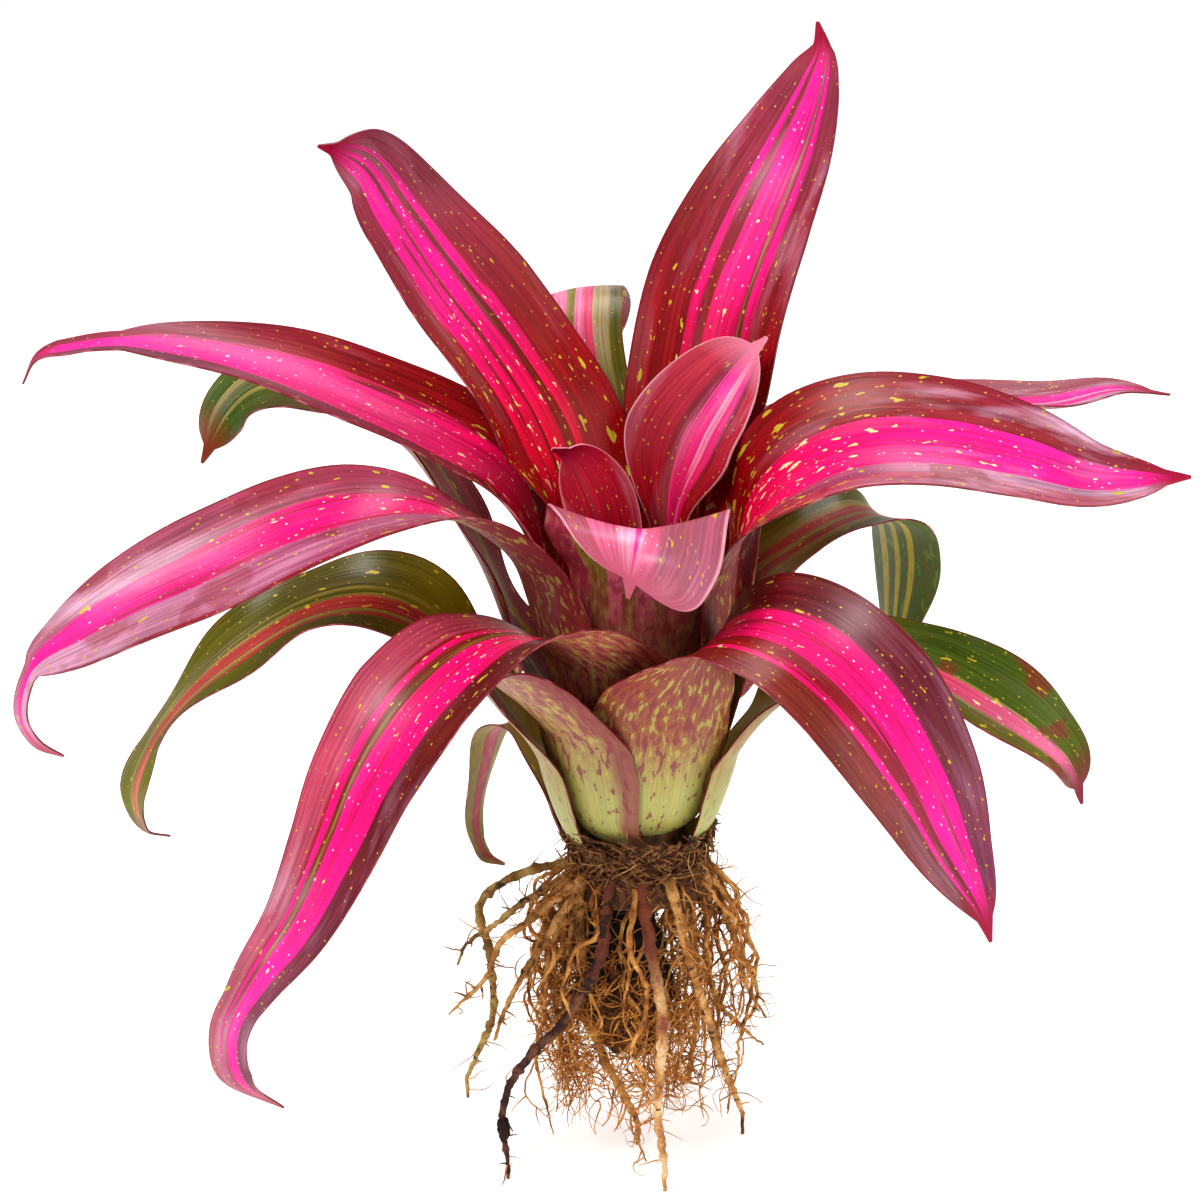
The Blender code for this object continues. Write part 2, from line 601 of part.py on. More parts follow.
def add_crown(group):
    """The woody foot of the stem that the roots spring from."""
    crown = bmesh.new()
    bmesh.ops.create_cone(crown, cap_ends=True, segments=CROWN_SIDES, radius1=CROWN_LOWER * MM,
                          radius2=CROWN_UPPER * MM, depth=(CROWN_TOP - CROWN_BOTTOM) * MM)
    middle = 0.5 * (CROWN_TOP + CROWN_BOTTOM) * MM
    bmesh.ops.translate(crown, verts=crown.verts, vec=(0.0, 0.0, middle))
    data = bpy.data.meshes.new("crown")
    crown.to_mesh(data)
    crown.free()
    group.objects.link(bpy.data.objects.new("crown", data))


def add_soil(name, finish):
    """The lump of soil held among the roots."""
    soil = bmesh.new()
    bmesh.ops.create_icosphere(soil, subdivisions=SOIL_DETAIL, radius=1.0)
    for vert in soil.verts:
        lump = 1.0 + SOIL_LUMPS * noise.noise(vert.co * SOIL_LUMP_SCALE)
        vert.co = Vector([centre + axis * lump * share for centre, axis, share
                          in zip(SOIL_CENTRE, SOIL_AXES, vert.co)]) * MM
    return add_object(name, soil, finish)


def add_root_mass(finish):
    """Root crown, main roots, thin roots and the soil they hold, fused into one body."""
    group = bpy.data.collections.new("root_parts")
    add_roots(random.Random(ROOT_SEED), group)
    add_crown(group)
    made = add_soil("root_mass", finish)
    join = made.modifiers.new("fuse", "BOOLEAN")
    join.operation = "UNION"
    join.operand_type = "COLLECTION"
    join.collection = group
    join.solver = FUSE_SOLVER
    bpy.context.view_layer.update()
    shape = made.evaluated_get(bpy.context.evaluated_depsgraph_get())
    fused = bpy.data.meshes.new_from_object(shape)
    made.modifiers.clear()
    made.data = fused
    fused.materials.clear()
    fused.materials.append(finish)
    for part in list(group.objects):
        bpy.data.objects.remove(part)
    bpy.data.collections.remove(group)


def main():
    """Build the plant in an empty scene."""
    for old in list(bpy.data.objects):
        bpy.data.objects.remove(old, do_unlink=True)
    add_leaves(material("leaf_skin", *LEAF_SKIN))
    add_stem(material("stem_flesh", *STEM_FLESH))
    add_dry_bases(material("dry_fibre", *DRY_FIBRE))
    add_root_mass(material("root_bark", *ROOT_BARK))


if __name__ == "__main__":
    main()
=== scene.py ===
"""Dressing of a bare-root neoregelia bromeliad: its blades, sheaths, dry fibres, roots and soil.

Lengths in the tables are in millimetres and the scene is in metres, +Z up, with the stem on the Z axis.
Azimuths are in degrees from +X, counter-clockwise from above. A pattern's scale counts its features in
a metre, so that a scale of 85 makes each about 12 mm wide.
"""
import logging
import math
import random
from dataclasses import dataclass
from enum import Enum

import bpy
import numpy as np
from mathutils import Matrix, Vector


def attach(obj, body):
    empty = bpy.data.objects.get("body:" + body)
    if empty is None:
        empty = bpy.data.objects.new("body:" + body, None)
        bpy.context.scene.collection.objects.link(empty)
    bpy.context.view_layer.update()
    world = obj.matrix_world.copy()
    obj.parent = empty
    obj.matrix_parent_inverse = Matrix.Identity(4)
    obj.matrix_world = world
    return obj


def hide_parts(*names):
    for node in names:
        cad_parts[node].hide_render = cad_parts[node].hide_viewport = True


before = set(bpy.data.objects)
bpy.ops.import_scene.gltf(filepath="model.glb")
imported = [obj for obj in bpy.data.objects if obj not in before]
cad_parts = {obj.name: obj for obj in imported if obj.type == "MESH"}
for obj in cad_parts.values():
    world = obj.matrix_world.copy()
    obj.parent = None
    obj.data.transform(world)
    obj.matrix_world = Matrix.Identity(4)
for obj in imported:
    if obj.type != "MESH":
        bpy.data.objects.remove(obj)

MM = 0.001
# Settings that many nodes share: a noise over a flat map, a colour laid over another, and one that shades.
FLAT = {"noise_dimensions": "2D"}
TINT = {"data_type": "RGBA"}
SHADE = {"data_type": "RGBA", "blend_type": "MULTIPLY"}
SOFT_JOIN = 0.006
WHITE = (1.0, 1.0, 1.0, 1.0)
Stops = tuple[tuple[float, "Zone"], ...]
log = logging.getLogger("bromeliad")


def linear(colour: str) -> tuple[float, float, float, float]:
    """Turn an sRGB hex colour to a linear one.

    Args:
        colour: The colour, such as "#a2000c".

    Returns:
        Linear red, green, blue and an alpha of 1.
    """
    parts = [int(colour[place:place + 2], 16) / 255.0 for place in (1, 3, 5)]
    turned = [part / 12.92 if part <= 0.04045 else ((part + 0.055) / 1.055) ** 2.4 for part in parts]
    return (*turned, 1.0)


class Coat:
    """A material as it is mixed: its node tree round one Principled shader."""

    def __init__(self, name: str) -> None:
        """Start a material with a bare shader.

        Args:
            name: Name of the material.
        """
        self.material = bpy.data.materials.new(name)
        self.material.use_nodes = True
        self.tree = self.material.node_tree
        self.shader = self.tree.nodes["Principled BSDF"]

    def add(self, kind: str, links: dict | None = None, stops: list | None = None,
            **settings) -> bpy.types.Node:
        """Add a node with its settings and with what goes into it.

        Args:
            kind: Type name of the node without its prefix.
            links: Input name or number, to a value, a socket, or a node whose first live output is taken.
            stops: Places from 0 to 1 with their linear colours, where the node is a ramp.
            settings: Properties of the node.

        Returns:
            The new node.
        """
        made = self.tree.nodes.new("ShaderNode" + kind)
        for name, value in settings.items():
            setattr(made, name, value)
        if stops:
            ramp = made.color_ramp
            while len(ramp.elements) < len(stops):
                ramp.elements.new(0.5)
            # A stop that is moved past another changes places with it, so the colours come second.
            for element, (place, _) in zip(ramp.elements, stops):
                element.position = place
            for element, (place, colour) in zip(ramp.elements, stops):
                element.position = place
                element.color = colour
        self.plug(made, links or {})
        return made

    def plug(self, target: bpy.types.Node, links: dict) -> None:
        """Plug values, sockets and nodes into the inputs of a node.

        Args:
            target: The node.
            links: What goes into it, as add takes it.
        """
        for place, source in links.items():
            if isinstance(source, bpy.types.Node):
                source = next(output for output in source.outputs if output.enabled)
            if isinstance(source, bpy.types.NodeSocket):
                self.tree.links.new(source, target.inputs[place])
            else:
                target.inputs[place].default_value = source

    def finish(self, colour: bpy.types.Node, relief: bpy.types.Node, rough: float | bpy.types.Node) -> None:
        """Plug the finished colour, relief and roughness into the shader."""
        self.plug(self.shader, {"Base Color": colour, "Normal": relief, "Roughness": rough})


class LeafCoat(Coat):
    """A leaf's material: it also holds the leaf's two maps, its length and the colour mixed so far."""

    def __init__(self, name: str, length: float) -> None:
        """Start a leaf's material and read the maps.

        Args:
            name: Name of the material.
            length: Length of the leaf in mm.
        """
        super().__init__(name)
        self.length = length
        self.blade = self.add("UVMap", uv_map="blade")
        self.across, self.along = self.add("SeparateXYZ", {0: self.blade}).outputs[:2]
        self.grain = self.add("UVMap", uv_map="grain")
        self.colour: bpy.types.Node | None = None


class Zone(Enum):
    """Colour of a lengthwise band of a blade: near the cup, half way out, and towards the tip."""

    # The colours towards the tip of MAROON, DARK, DUSK and LILAC are lightened by a painted pale lilac sheen.
    MAROON = ("#a2000c", "#981018", "#9c3a50")
    DARK = ("#7c0008", "#6c0e18", "#844058")
    BROWN = ("#8c0a0c", "#84281c", "#94484a")
    TAN = ("#a5421f", "#a5734a", "#b58a7c")
    PINK = ("#e7022f", "#f4047a", "#fa2aa0")
    ROSE = ("#d0102e", "#dc305c", "#e8789e")
    PALE = ("#e63a68", "#f6769f", "#fba9c4")
    VEIL = ("#a01426", "#b84660", "#c0667c")
    DUSK = ("#b80c1c", "#a8405c", "#bc7088")
    LILAC = ("#c00a1c", "#b05478", "#d29cb6")
    # CORE, RED and CRIMSON turn near black by the cup: painted shade of the deep cup.
    CORE = ("#5c0618", "#e41c68", "#fb48a4")
    RED = ("#4e0208", "#a80e24", "#c63c54")
    CRIMSON = ("#4c0208", "#b80222", "#d02444")
    OLIVE = ("#cdb414", "#5c560a", "#767422")
    GREEN = ("#c4b414", "#4a6410", "#5c6c1a")
    YOLK = ("#c8a814", "#b4a41c", "#b8a828")
    STRAW = ("#a58c14", "#94883a", "#a89a58")
    LATE_GREEN = ("#98303c", "#a84850", "#4f6814")
    SALMON = ("#a8402c", "#b03a34", "#c4645c")


class Face(Enum):
    """Material slot of each face of a leaf."""

    UPPER = 0
    UNDER = 1
    RIM = 2


@dataclass(frozen=True)
class BladeSkin:
    """Upper face of a blade: a living leaf with a smooth waxy cuticle over long veins.

    It gives the eye satin highlights and a painted lilac sheen, clean lengthwise bands, scattered yellow or
    white specks.
    """

    stops: Stops
    speck_share: float = 0.55
    blotch_level: float = 0.64
    smear: float = 0.22
    # Strength of the painted pale lilac sheen on the outer blade, which stands in for reflection.
    painted_sheen: float = 0.35
    stain: float = 0.0
    deep_from: float = 8.0
    deep_to: float = 96.0
    roughness: float = 0.3
    tip: str = "#a3053a"
    edge: str = "#7c0f1e"
    speck: str = "#c4b02e"
    pink_speck: str = "#ffc9dc"
    blotch: str = "#f3d9a0"
    smeared: str = "#8a4c22"
    stained: str = "#8a2a28"
    # Colour of that painted sheen.
    sheen_colour: str = "#dfb4cb"
    speck_size: float = 2.2
    veins: float = 46.0
    vein_length: float = 55.0
    seed: float = 0.0

    def build(self, name: str, opening: float, length: float) -> bpy.types.Material:
        """Build the material of one leaf.

        Args:
            name: Name of the material.
            opening: Distance in mm along the leaf at which its sheath ends.
            length: Length of the leaf in mm.

        Returns:
            The material.
        """
        coat = LeafCoat(name, length)
        add = coat.add
        streaks = add("CombineXYZ", {
            0: add("Math", {0: coat.across, 1: self.veins}, operation="MULTIPLY"),
            1: add("Math", {0: coat.along, 1: length / self.vein_length}, operation="MULTIPLY"),
            2: self.seed})
        veins = add("TexNoise", {"Vector": streaks, "Scale": 1.0, "Detail": 2.0})
        wander = add("TexNoise", {"Vector": streaks, "Scale": 0.13, "Detail": 2.0})
        place = coat.across
        for noise, reach in ((wander, 0.09), (veins, 0.13)):
            shift = add("Math", {0: noise, 1: 0.5}, operation="SUBTRACT")
            place = add("Math", {0: shift, 1: reach, 2: place}, operation="MULTIPLY_ADD")
        pinks = (Zone.PINK, Zone.PALE, Zone.ROSE)
        on_pink = add("ValToRGB", {0: place}, [(stop, (*(float(zone in pinks),) * 3, 1.0))
                                               for stop, zone in self.stops])
        self.band(coat, place, opening)
        self.mottle(coat, on_pink)
        # Painted sheen: pale lilac patches that stand in for reflections on the outer blade.
        self.paint_sheen(coat, on_pink)
        shade = add("MapRange", {0: veins, 1: 0.3, 2: 0.7, 3: 0.62, 4: 1.16})
        coat.colour = add("Mix", {0: 1.0, 6: coat.colour, 7: shade}, **SHADE)
        self.scatter(coat, on_pink, opening / length)
        self.finish_ends(coat)
        rough = add("MapRange", {0: veins, 3: self.roughness - 0.07, 4: self.roughness + 0.1})
        relief = add("Bump", {"Height": veins, "Strength": 0.35, "Distance": 0.3 * MM})
        coat.finish(coat.colour, relief, rough)
        coat.plug(coat.shader, {"Specular IOR Level": 0.28})
        return coat.material

    def band(self, coat: LeafCoat, place: bpy.types.Node, opening: float) -> None:
        """Colour the lengthwise bands, changing from the cup to the tip.

        Args:
            coat: The leaf's material.
            place: Place across the blade from 0 to 1, with its wander.
            opening: Distance at which the sheath ends, in mm.
        """
        near, middle, far = (
            coat.add("ValToRGB", {0: place}, [(stop, linear(zone.value[step])) for stop, zone in self.stops])
            for step in range(3))
        deep_from, deep_to = ((opening + reach) / coat.length for reach in (self.deep_from, self.deep_to))
        inner, outer = (
            coat.add("MapRange", {0: coat.along, 1: start, 2: end}, interpolation_type="SMOOTHSTEP")
            for start, end in ((deep_from, deep_to), (0.5, 0.92)))
        coat.colour = coat.add("Mix", {0: inner, 6: near, 7: middle}, **TINT)
        coat.colour = coat.add("Mix", {0: outer, 6: coat.colour, 7: far}, **TINT)

    def mottle(self, coat: LeafCoat, on_pink: bpy.types.Node) -> None:
        """Cloud the colour with broad patches, and smear olive brown over the dark bands.

        Args:
            coat: The leaf's material.
            on_pink: 1 on the pink bands and 0 on the dark ones.
        """
        add = coat.add
        drawn = add("Mapping", {"Vector": coat.grain, "Scale": (85.0, 21.0, 1.0),
                                "Location": (3.0 * self.seed, 0, 0)})
        smear = add("TexNoise", {"Vector": drawn, "Scale": 1.0, "Detail": 3.0}, **FLAT)
        smear = add("MapRange", {0: smear, 1: 0.54, 2: 0.72, 4: self.smear})
        dark = add("Math", {0: 1.0, 1: on_pink}, operation="SUBTRACT")
        smear = add("Math", {0: smear, 1: dark}, operation="MULTIPLY")
        colour = add("Mix", {0: smear, 6: coat.colour, 7: linear(self.smeared)}, **TINT)
        cloud = add("TexNoise", {"Vector": coat.grain, "Scale": 34.0, "Detail": 3.0})
        if self.stain:
            patch = add("MapRange", {0: cloud, 1: 0.55, 2: 0.6, 4: self.stain})
            patch = add("Math", {0: patch, 1: dark}, operation="MULTIPLY")
            colour = add("Mix", {0: patch, 6: colour, 7: linear(self.stained)}, **TINT)
        shade = add("MapRange", {0: cloud, 1: 0.3, 2: 0.7, 3: 0.84, 4: 1.12})
        coat.colour = add("Mix", {0: 1.0, 6: colour, 7: shade}, **SHADE)

    def paint_sheen(self, coat: LeafCoat, on_pink: bpy.types.Node) -> None:
        """Paint patches of pale lilac sheen, a painted reflection, over the outer part of the blade, most of
        all on the dark bands.

        Args:
            coat: The leaf's material.
            on_pink: 1 on the pink bands and 0 on the dark ones.
        """
        add = coat.add
        drawn = add("Mapping", {"Vector": coat.grain, "Scale": (95.0, 17.0, 1.0),
                                "Location": (5.0 * self.seed, 1.0, 0)})
        patch = add("TexNoise", {"Vector": drawn, "Scale": 1.0, "Detail": 4.0}, **FLAT)
        patch = add("MapRange", {0: patch, 1: 0.5, 2: 0.72, 4: self.painted_sheen})
        outward = add("MapRange", {0: coat.along, 1: 0.4, 2: 0.75})
        thinned = add("MapRange", {0: on_pink, 3: 1.0, 4: 0.3})
        for part in (outward, thinned):
            patch = add("Math", {0: patch, 1: part}, operation="MULTIPLY")
        coat.colour = add("Mix", {0: patch, 6: coat.colour, 7: linear(self.sheen_colour)}, **TINT)

    def scatter(self, coat: LeafCoat, on_pink: bpy.types.Node, opening: float) -> None:
        """Scatter specks over the blade, and longer blotches near the cup.

        Args:
            coat: The leaf's material.
            on_pink: 1 on the pink bands and 0 on the dark ones.
            opening: Share of the leaf at which its sheath ends.
        """
        add = coat.add
        fleck, cream = (add("Mix", {0: on_pink, 6: linear(self.speck), 7: linear(other)}, **TINT)
                        for other in (self.pink_speck, self.blotch))
        drawn = add("Mapping", {"Vector": coat.grain, "Scale": (1.0, 0.6, 1.0),
                                "Location": (self.seed, 0, 0)})
        fine, coarse = (self.speck_size, self.speck_share, 0.17), (2.7 * self.speck_size, 0.7, 0.12)
        for size, share, most in (fine, coarse):
            cells = add("TexVoronoi", {"Vector": drawn, "Scale": 1.0 / (size * MM)},
                        voronoi_dimensions="2D")
            chosen = add("SeparateColor", {0: cells.outputs["Color"]})
            reach = add("MapRange", {0: chosen, 1: share, 2: 1.0, 3: -0.02, 4: most}, clamp=False)
            inside = add("Math", {0: reach, 1: cells.outputs["Distance"]}, operation="SUBTRACT")
            mask = add("MapRange", {0: inside, 1: 0.0, 2: 0.07})
            coat.colour = add("Mix", {0: mask, 6: coat.colour, 7: fleck}, **TINT)
        fewer = add("MapRange", {0: coat.along, 1: opening, 2: opening + 0.4, 3: 0.0, 4: 0.13})
        wide = add("Mapping", {"Vector": coat.grain, "Scale": (330.0, 120.0, 1.0),
                               "Location": (7.0 * self.seed, 0, 0)})
        blot = add("TexNoise", {"Vector": wide, "Scale": 1.0, "Detail": 2.5}, **FLAT)
        blot = add("Math", {0: blot, 1: fewer}, operation="SUBTRACT")
        mask = add("MapRange", {0: blot, 1: self.blotch_level, 2: self.blotch_level + 0.02})
        coat.colour = add("Mix", {0: mask, 6: coat.colour, 7: cream}, **TINT)

    def finish_ends(self, coat: LeafCoat) -> None:
        """Draw the edge line, 1.6% of the blade wide, and the colour of the last 22 mm, the tip.

        Args:
            coat: The leaf's material.
        """
        add = coat.add
        off = add("Math", {0: coat.across, 1: 0.5}, operation="SUBTRACT")
        off = add("Math", {0: off}, operation="ABSOLUTE")
        edge = add("MapRange", {0: off, 1: 0.484, 2: 0.494, 4: 0.8})
        end = add("MapRange", {0: coat.along, 1: 1.0 - 22.0 / coat.length, 2: 1.0 - 7.0 / coat.length})
        coat.colour = add("Mix", {0: edge, 6: coat.colour, 7: linear(self.edge)}, **TINT)
        coat.colour = add("Mix", {0: end, 6: coat.colour, 7: linear(self.tip)}, **TINT)


@dataclass(frozen=True)
class SheathSkin:
    """Outer face of a leaf: matt and waxy, pale green at the foot and mottled rose to maroon above."""

    foot: str = "#b4b266"
    middle: str = "#9c5c40"
    blade: str = "#962c38"
    fleck: str = "#b7b056"
    mark: str = "#8e3040"
    roughness: float = 0.45
    pale_to: float = 24.0
    mottled_from: float = 54.0
    even_from: float = 45.0
    edge_line: float = 0.0
    marked: float = 0.8
    stops: Stops = ()

    def build(self, name: str, length: float) -> bpy.types.Material:
        """Build the material for a leaf of a length.

        Args:
            name: Name of the material.
            length: Length of the leaf in mm.

        Returns:
            The material.
        """
        coat = LeafCoat(name, length)
        add = coat.add
        foot, middle, blade, mark = (linear(tone) for tone in (self.foot, self.middle, self.blade, self.mark))
        cloud = add("TexNoise", {"Vector": coat.grain, "Scale": 60.0, "Detail": 3.0})
        moved = add("Math", {0: cloud, 1: 26.0 / length, 2: coat.along}, operation="MULTIPLY_ADD")
        moved = add("Math", {0: moved, 1: 13.0 / length}, operation="SUBTRACT")
        pale, mottled = self.pale_to / length, self.mottled_from / length
        colour = add("ValToRGB", {0: moved}, [
            (0.0, foot), (pale, foot), (mottled, middle),
            ((self.mottled_from + self.even_from) / length, blade), (1.0, blade)])
        if self.stops:
            striped = add("ValToRGB", {0: coat.across},
                          [(stop, linear(zone.value[1])) for stop, zone in self.stops])
            out = add("MapRange", {0: moved, 1: mottled, 2: (self.mottled_from + 30.0) / length})
            colour = add("Mix", {0: out, 6: colour, 7: striped}, **TINT)
        drawn = add("Mapping", {"Vector": coat.grain, "Scale": (430.0, 170.0, 1.0)})
        blot = add("TexNoise", {"Vector": drawn, "Scale": 1.0, "Detail": 3.0}, **FLAT)
        group = add("MapRange", {0: cloud, 1: 0.35, 2: 0.65, 3: -0.07, 4: 0.07})
        blot = add("Math", {0: blot, 1: group}, operation="ADD")
        light = add("MapRange", {0: blot, 1: 0.59, 2: 0.63, 4: self.marked})
        colour = add("Mix", {0: light, 6: colour, 7: linear(self.fleck)}, **TINT)
        reach = add("MapRange", {0: coat.along, 1: pale, 2: mottled, 3: 0.36, 4: 0.46})
        dark = add("Math", {0: reach, 1: blot}, operation="SUBTRACT")
        dark = add("MapRange", {0: dark, 1: 0.0, 2: 0.05, 4: self.marked})
        colour = add("Mix", {0: dark, 6: colour, 7: mark}, **TINT)
        if self.edge_line:
            edge = add("Math", {0: cloud, 1: 0.1, 2: coat.across}, operation="MULTIPLY_ADD")
            edge = add("MapRange", {0: edge, 1: 1.0 - self.edge_line, 2: 1.1 - self.edge_line, 4: 0.8})
            colour = add("Mix", {0: edge, 6: colour, 7: mark}, **TINT)
        streaks = add("Mapping", {"Vector": coat.blade, "Scale": (60.0, length / 60.0, 1.0)})
        veins = add("TexNoise", {"Vector": streaks, "Scale": 1.0, "Detail": 2.0})
        shade = add("MapRange", {0: veins, 1: 0.3, 2: 0.7, 3: 0.82, 4: 1.08})
        colour = add("Mix", {0: 1.0, 6: colour, 7: shade}, **SHADE)
        relief = add("Bump", {"Height": veins, "Strength": 0.3, "Distance": 0.3 * MM})
        coat.finish(colour, relief, self.roughness)
        return coat.material


@dataclass(frozen=True)
class EdgeSkin:
    """Cut edge of a blade: thin horny tissue that looks like a fine dark red line."""

    colour: str = "#8f1c2c"
    worn: str = "#c4707a"
    roughness: float = 0.4

    def build(self, name: str) -> bpy.types.Material:
        """Build the material.

        Args:
            name: Name of the material.

        Returns:
            The material.
        """
        coat = Coat(name)
        here = coat.add("TexCoord").outputs["Object"]
        wear = coat.add("TexNoise", {"Vector": here, "Scale": 120.0, "Detail": 2.0})
        amount = coat.add("MapRange", {0: wear, 1: 0.5, 2: 0.7})
        colour = coat.add("Mix", {0: amount, 6: linear(self.colour), 7: linear(self.worn)}, **TINT)
        coat.plug(coat.shader, {"Base Color": colour, "Roughness": self.roughness})
        return coat.material


@dataclass(frozen=True)
class Bark:
    """Root skin or dry fibre: rough and fibrous, tan where clean and dark where soil clings to it."""

    light: str
    middle: str
    dark: str
    top: str = ""
    top_from: float = 98.0
    dirt: float = 0.6
    soil: str = "#2a1a10"
    size: float = 6.0
    fibre: float = 1.2
    clod: float = 4.0
    roughness: float = 0.8
    bump: float = 0.5

    def build(self, name: str) -> bpy.types.Material:
        """Build the material.

        Args:
            name: Name of the material.

        Returns:
            The material.
        """
        coat = Coat(name)
        add = coat.add
        here = add("TexCoord").outputs["Object"]
        broad = add("TexNoise", {"Vector": here, "Scale": 1.0 / (self.size * MM), "Detail": 4.0})
        fine, clods = (add("TexNoise", {"Vector": here, "Scale": 1.0 / (size * MM), "Detail": 3.0})
                       for size in (self.fibre, self.clod))
        tones = (0.3, self.dark), (0.45, self.middle), (0.62, self.light)
        colour = add("ValToRGB", {0: broad}, [(place, linear(tone)) for place, tone in tones])
        if self.top:
            height = add("SeparateXYZ", {0: here}).outputs[2]
            height = add("Math", {0: broad, 1: 36.0 * MM, 2: height}, operation="MULTIPLY_ADD")
            upper = add("MapRange", {0: height, 1: self.top_from * MM, 2: (self.top_from + 16.0) * MM})
            colour = add("Mix", {0: upper, 6: colour, 7: linear(self.top)}, **TINT)
        shade = add("MapRange", {0: fine, 1: 0.3, 2: 0.7, 3: 0.7, 4: 1.15})
        colour = add("Mix", {0: 1.0, 6: colour, 7: shade}, **SHADE)
        amount = add("MapRange", {0: clods, 1: self.dirt, 2: self.dirt + 0.05, 4: 0.9})
        colour = add("Mix", {0: amount, 6: colour, 7: linear(self.soil)}, **TINT)
        relief = add("Bump", {"Height": fine, "Strength": self.bump, "Distance": 0.4 * MM})
        coat.finish(colour, relief, self.roughness)
        return coat.material


def bands(edges: str) -> Stops:
    """Turn bands into ramp stops with soft joins between them.

    Args:
        edges: End of each band in hundredths of the width from the left or upper margin, and its zone.

    Returns:
        The ramp stops.
    """
    stops = []
    start = 0.0
    for band in edges.split(", "):
        share, name = band.split()
        end = float(share) / 100.0
        zone = Zone[name.upper()]
        stops.append((min(start + SOFT_JOIN, end), zone))
        stops.append((max(end - SOFT_JOIN, start), zone))
        start = end
    return tuple(stops)


SKINS = {
    "leaf_01_back_left_hanging": BladeSkin(bands("30 straw, 70 veil, 100 straw"), smear=0.0),
    "leaf_02_back_low": BladeSkin(bands("40 green, 60 salmon, 100 olive")),
    "leaf_03_left_curled": BladeSkin(
        bands("36 olive, 39 straw, 45 olive, 48 straw, 66 salmon, 70 straw, 76 salmon, 100 olive"),
        tip="#6c3a20", blotch_level=0.62, smear=0.0, painted_sheen=0.12),
    "leaf_04_right_hanging": BladeSkin(
        bands("50 green, 53 straw, 74 rose, 78 straw, 100 olive"),
        tip="#8a2034", blotch_level=0.58, smear=0.2, painted_sheen=0.12, stain=0.7),
    "leaf_05_back_left_low": BladeSkin(bands("40 olive, 62 rose, 100 green")),
    "leaf_06_front_left_low": BladeSkin(bands("20 dark, 50 rose, 100 maroon")),
    "leaf_07_front_right": BladeSkin(
        bands("25 brown, 27 maroon, 32 pink, 42 maroon, 58 pink, 59 maroon, 70 pink, 100 dark"),
        painted_sheen=0.2, seed=3.1),
    "leaf_08_right_arching": BladeSkin(
        bands("20 olive, 32 straw, 44 salmon, 50 straw, 62 salmon, 70 straw, 100 olive"),
        tip="#6c6a1c", smear=0.0, painted_sheen=0.12),
    "leaf_09_left_back": BladeSkin(
        bands("25 late_green, 32 straw, 50 late_green, 56 straw, 100 late_green"),
        tip="#8a3a1c", smear=0.0, painted_sheen=0.12),
    "leaf_10_back_middle": BladeSkin(bands("30 maroon, 60 pink, 100 olive")),
    "leaf_11_front_left": BladeSkin(
        bands("26 veil, 30 maroon, 36 pink, 41 brown, 42 straw, 45 brown, 56 pink, 57 maroon, 74 "
              "pink, 100 dark"),
        painted_sheen=0.45, seed=5.3),
    "leaf_12_right_back": BladeSkin(
        bands("30 maroon, 50 pink, 56 lilac, 70 pink, 100 lilac"),
        blotch_level=0.59, painted_sheen=0.6, seed=6.2),
    "leaf_13_left_front": BladeSkin(
        bands("28 dusk, 31 pink, 33 maroon, 56 pink, 57 maroon, 60 pink, 94 lilac, 100 maroon"),
        painted_sheen=0.7, seed=7.7, blotch_level=0.61, stain=0.5),
    "leaf_14_right": BladeSkin(
        bands("34 maroon, 52 pink, 53 maroon, 74 pink, 84 lilac, 100 veil"),
        painted_sheen=0.85, seed=8.4, blotch_level=0.585, stain=0.6),
    "leaf_15_left": BladeSkin(
        bands("27 maroon, 29 pink, 31 brown, 76 pink, 100 dark"),
        painted_sheen=0.15, seed=9.2),
    "leaf_16_back": BladeSkin(
        bands("30 pink, 42 pale, 50 straw, 60 pale, 70 rose, 86 straw, 100 olive"),
        seed=1.7),
    "leaf_17_tall_right": BladeSkin(
        bands("31 maroon, 37 pink, 46 maroon, 65 pink, 67 brown, 68.5 tan, 70 brown, 77 pink, 100 maroon"),
        seed=2.5),
    "leaf_18_tall_left": BladeSkin(
        bands("20 maroon, 33 pink, 34 brown, 42 pink, 45 brown, 56 pink, 62 brown, 68 pink, 100 maroon"),
        painted_sheen=0.2, seed=4.9),
    # The pale bands down the middle of the lip are a painted highlight.
    "leaf_19_front_lip": BladeSkin(
        bands("22 veil, 40 rose, 50 pale, 53 pink, 56 pale, 64 rose, 100 dusk"),
        seed=1.1, roughness=0.3, edge="#e3a9b4", tip="#b8566e", deep_from=-12.0, deep_to=64.0, painted_sheen=0.1),
    # The pale band inside the hot pink core is a painted highlight, and the near black of the red and core
    # bands by the cup, fading out by 60 mm past the sheath, is painted shade.
    "leaf_20_inner_right": BladeSkin(
        bands("40 red, 47 maroon, 64 core, 69 pale, 78 core, 83 maroon, 100 red"),
        seed=5.9, roughness=0.28, edge="#e7b4bd", tip="#e58aa4", deep_from=8.0, deep_to=60.0, painted_sheen=0.3),
    "leaf_21_inner_left": BladeSkin(bands("44 crimson, 50 red, 100 crimson"), seed=6.6, edge="#e08a98"),
    "leaf_22_heart": BladeSkin(bands("100 crimson"), seed=8.8),
}
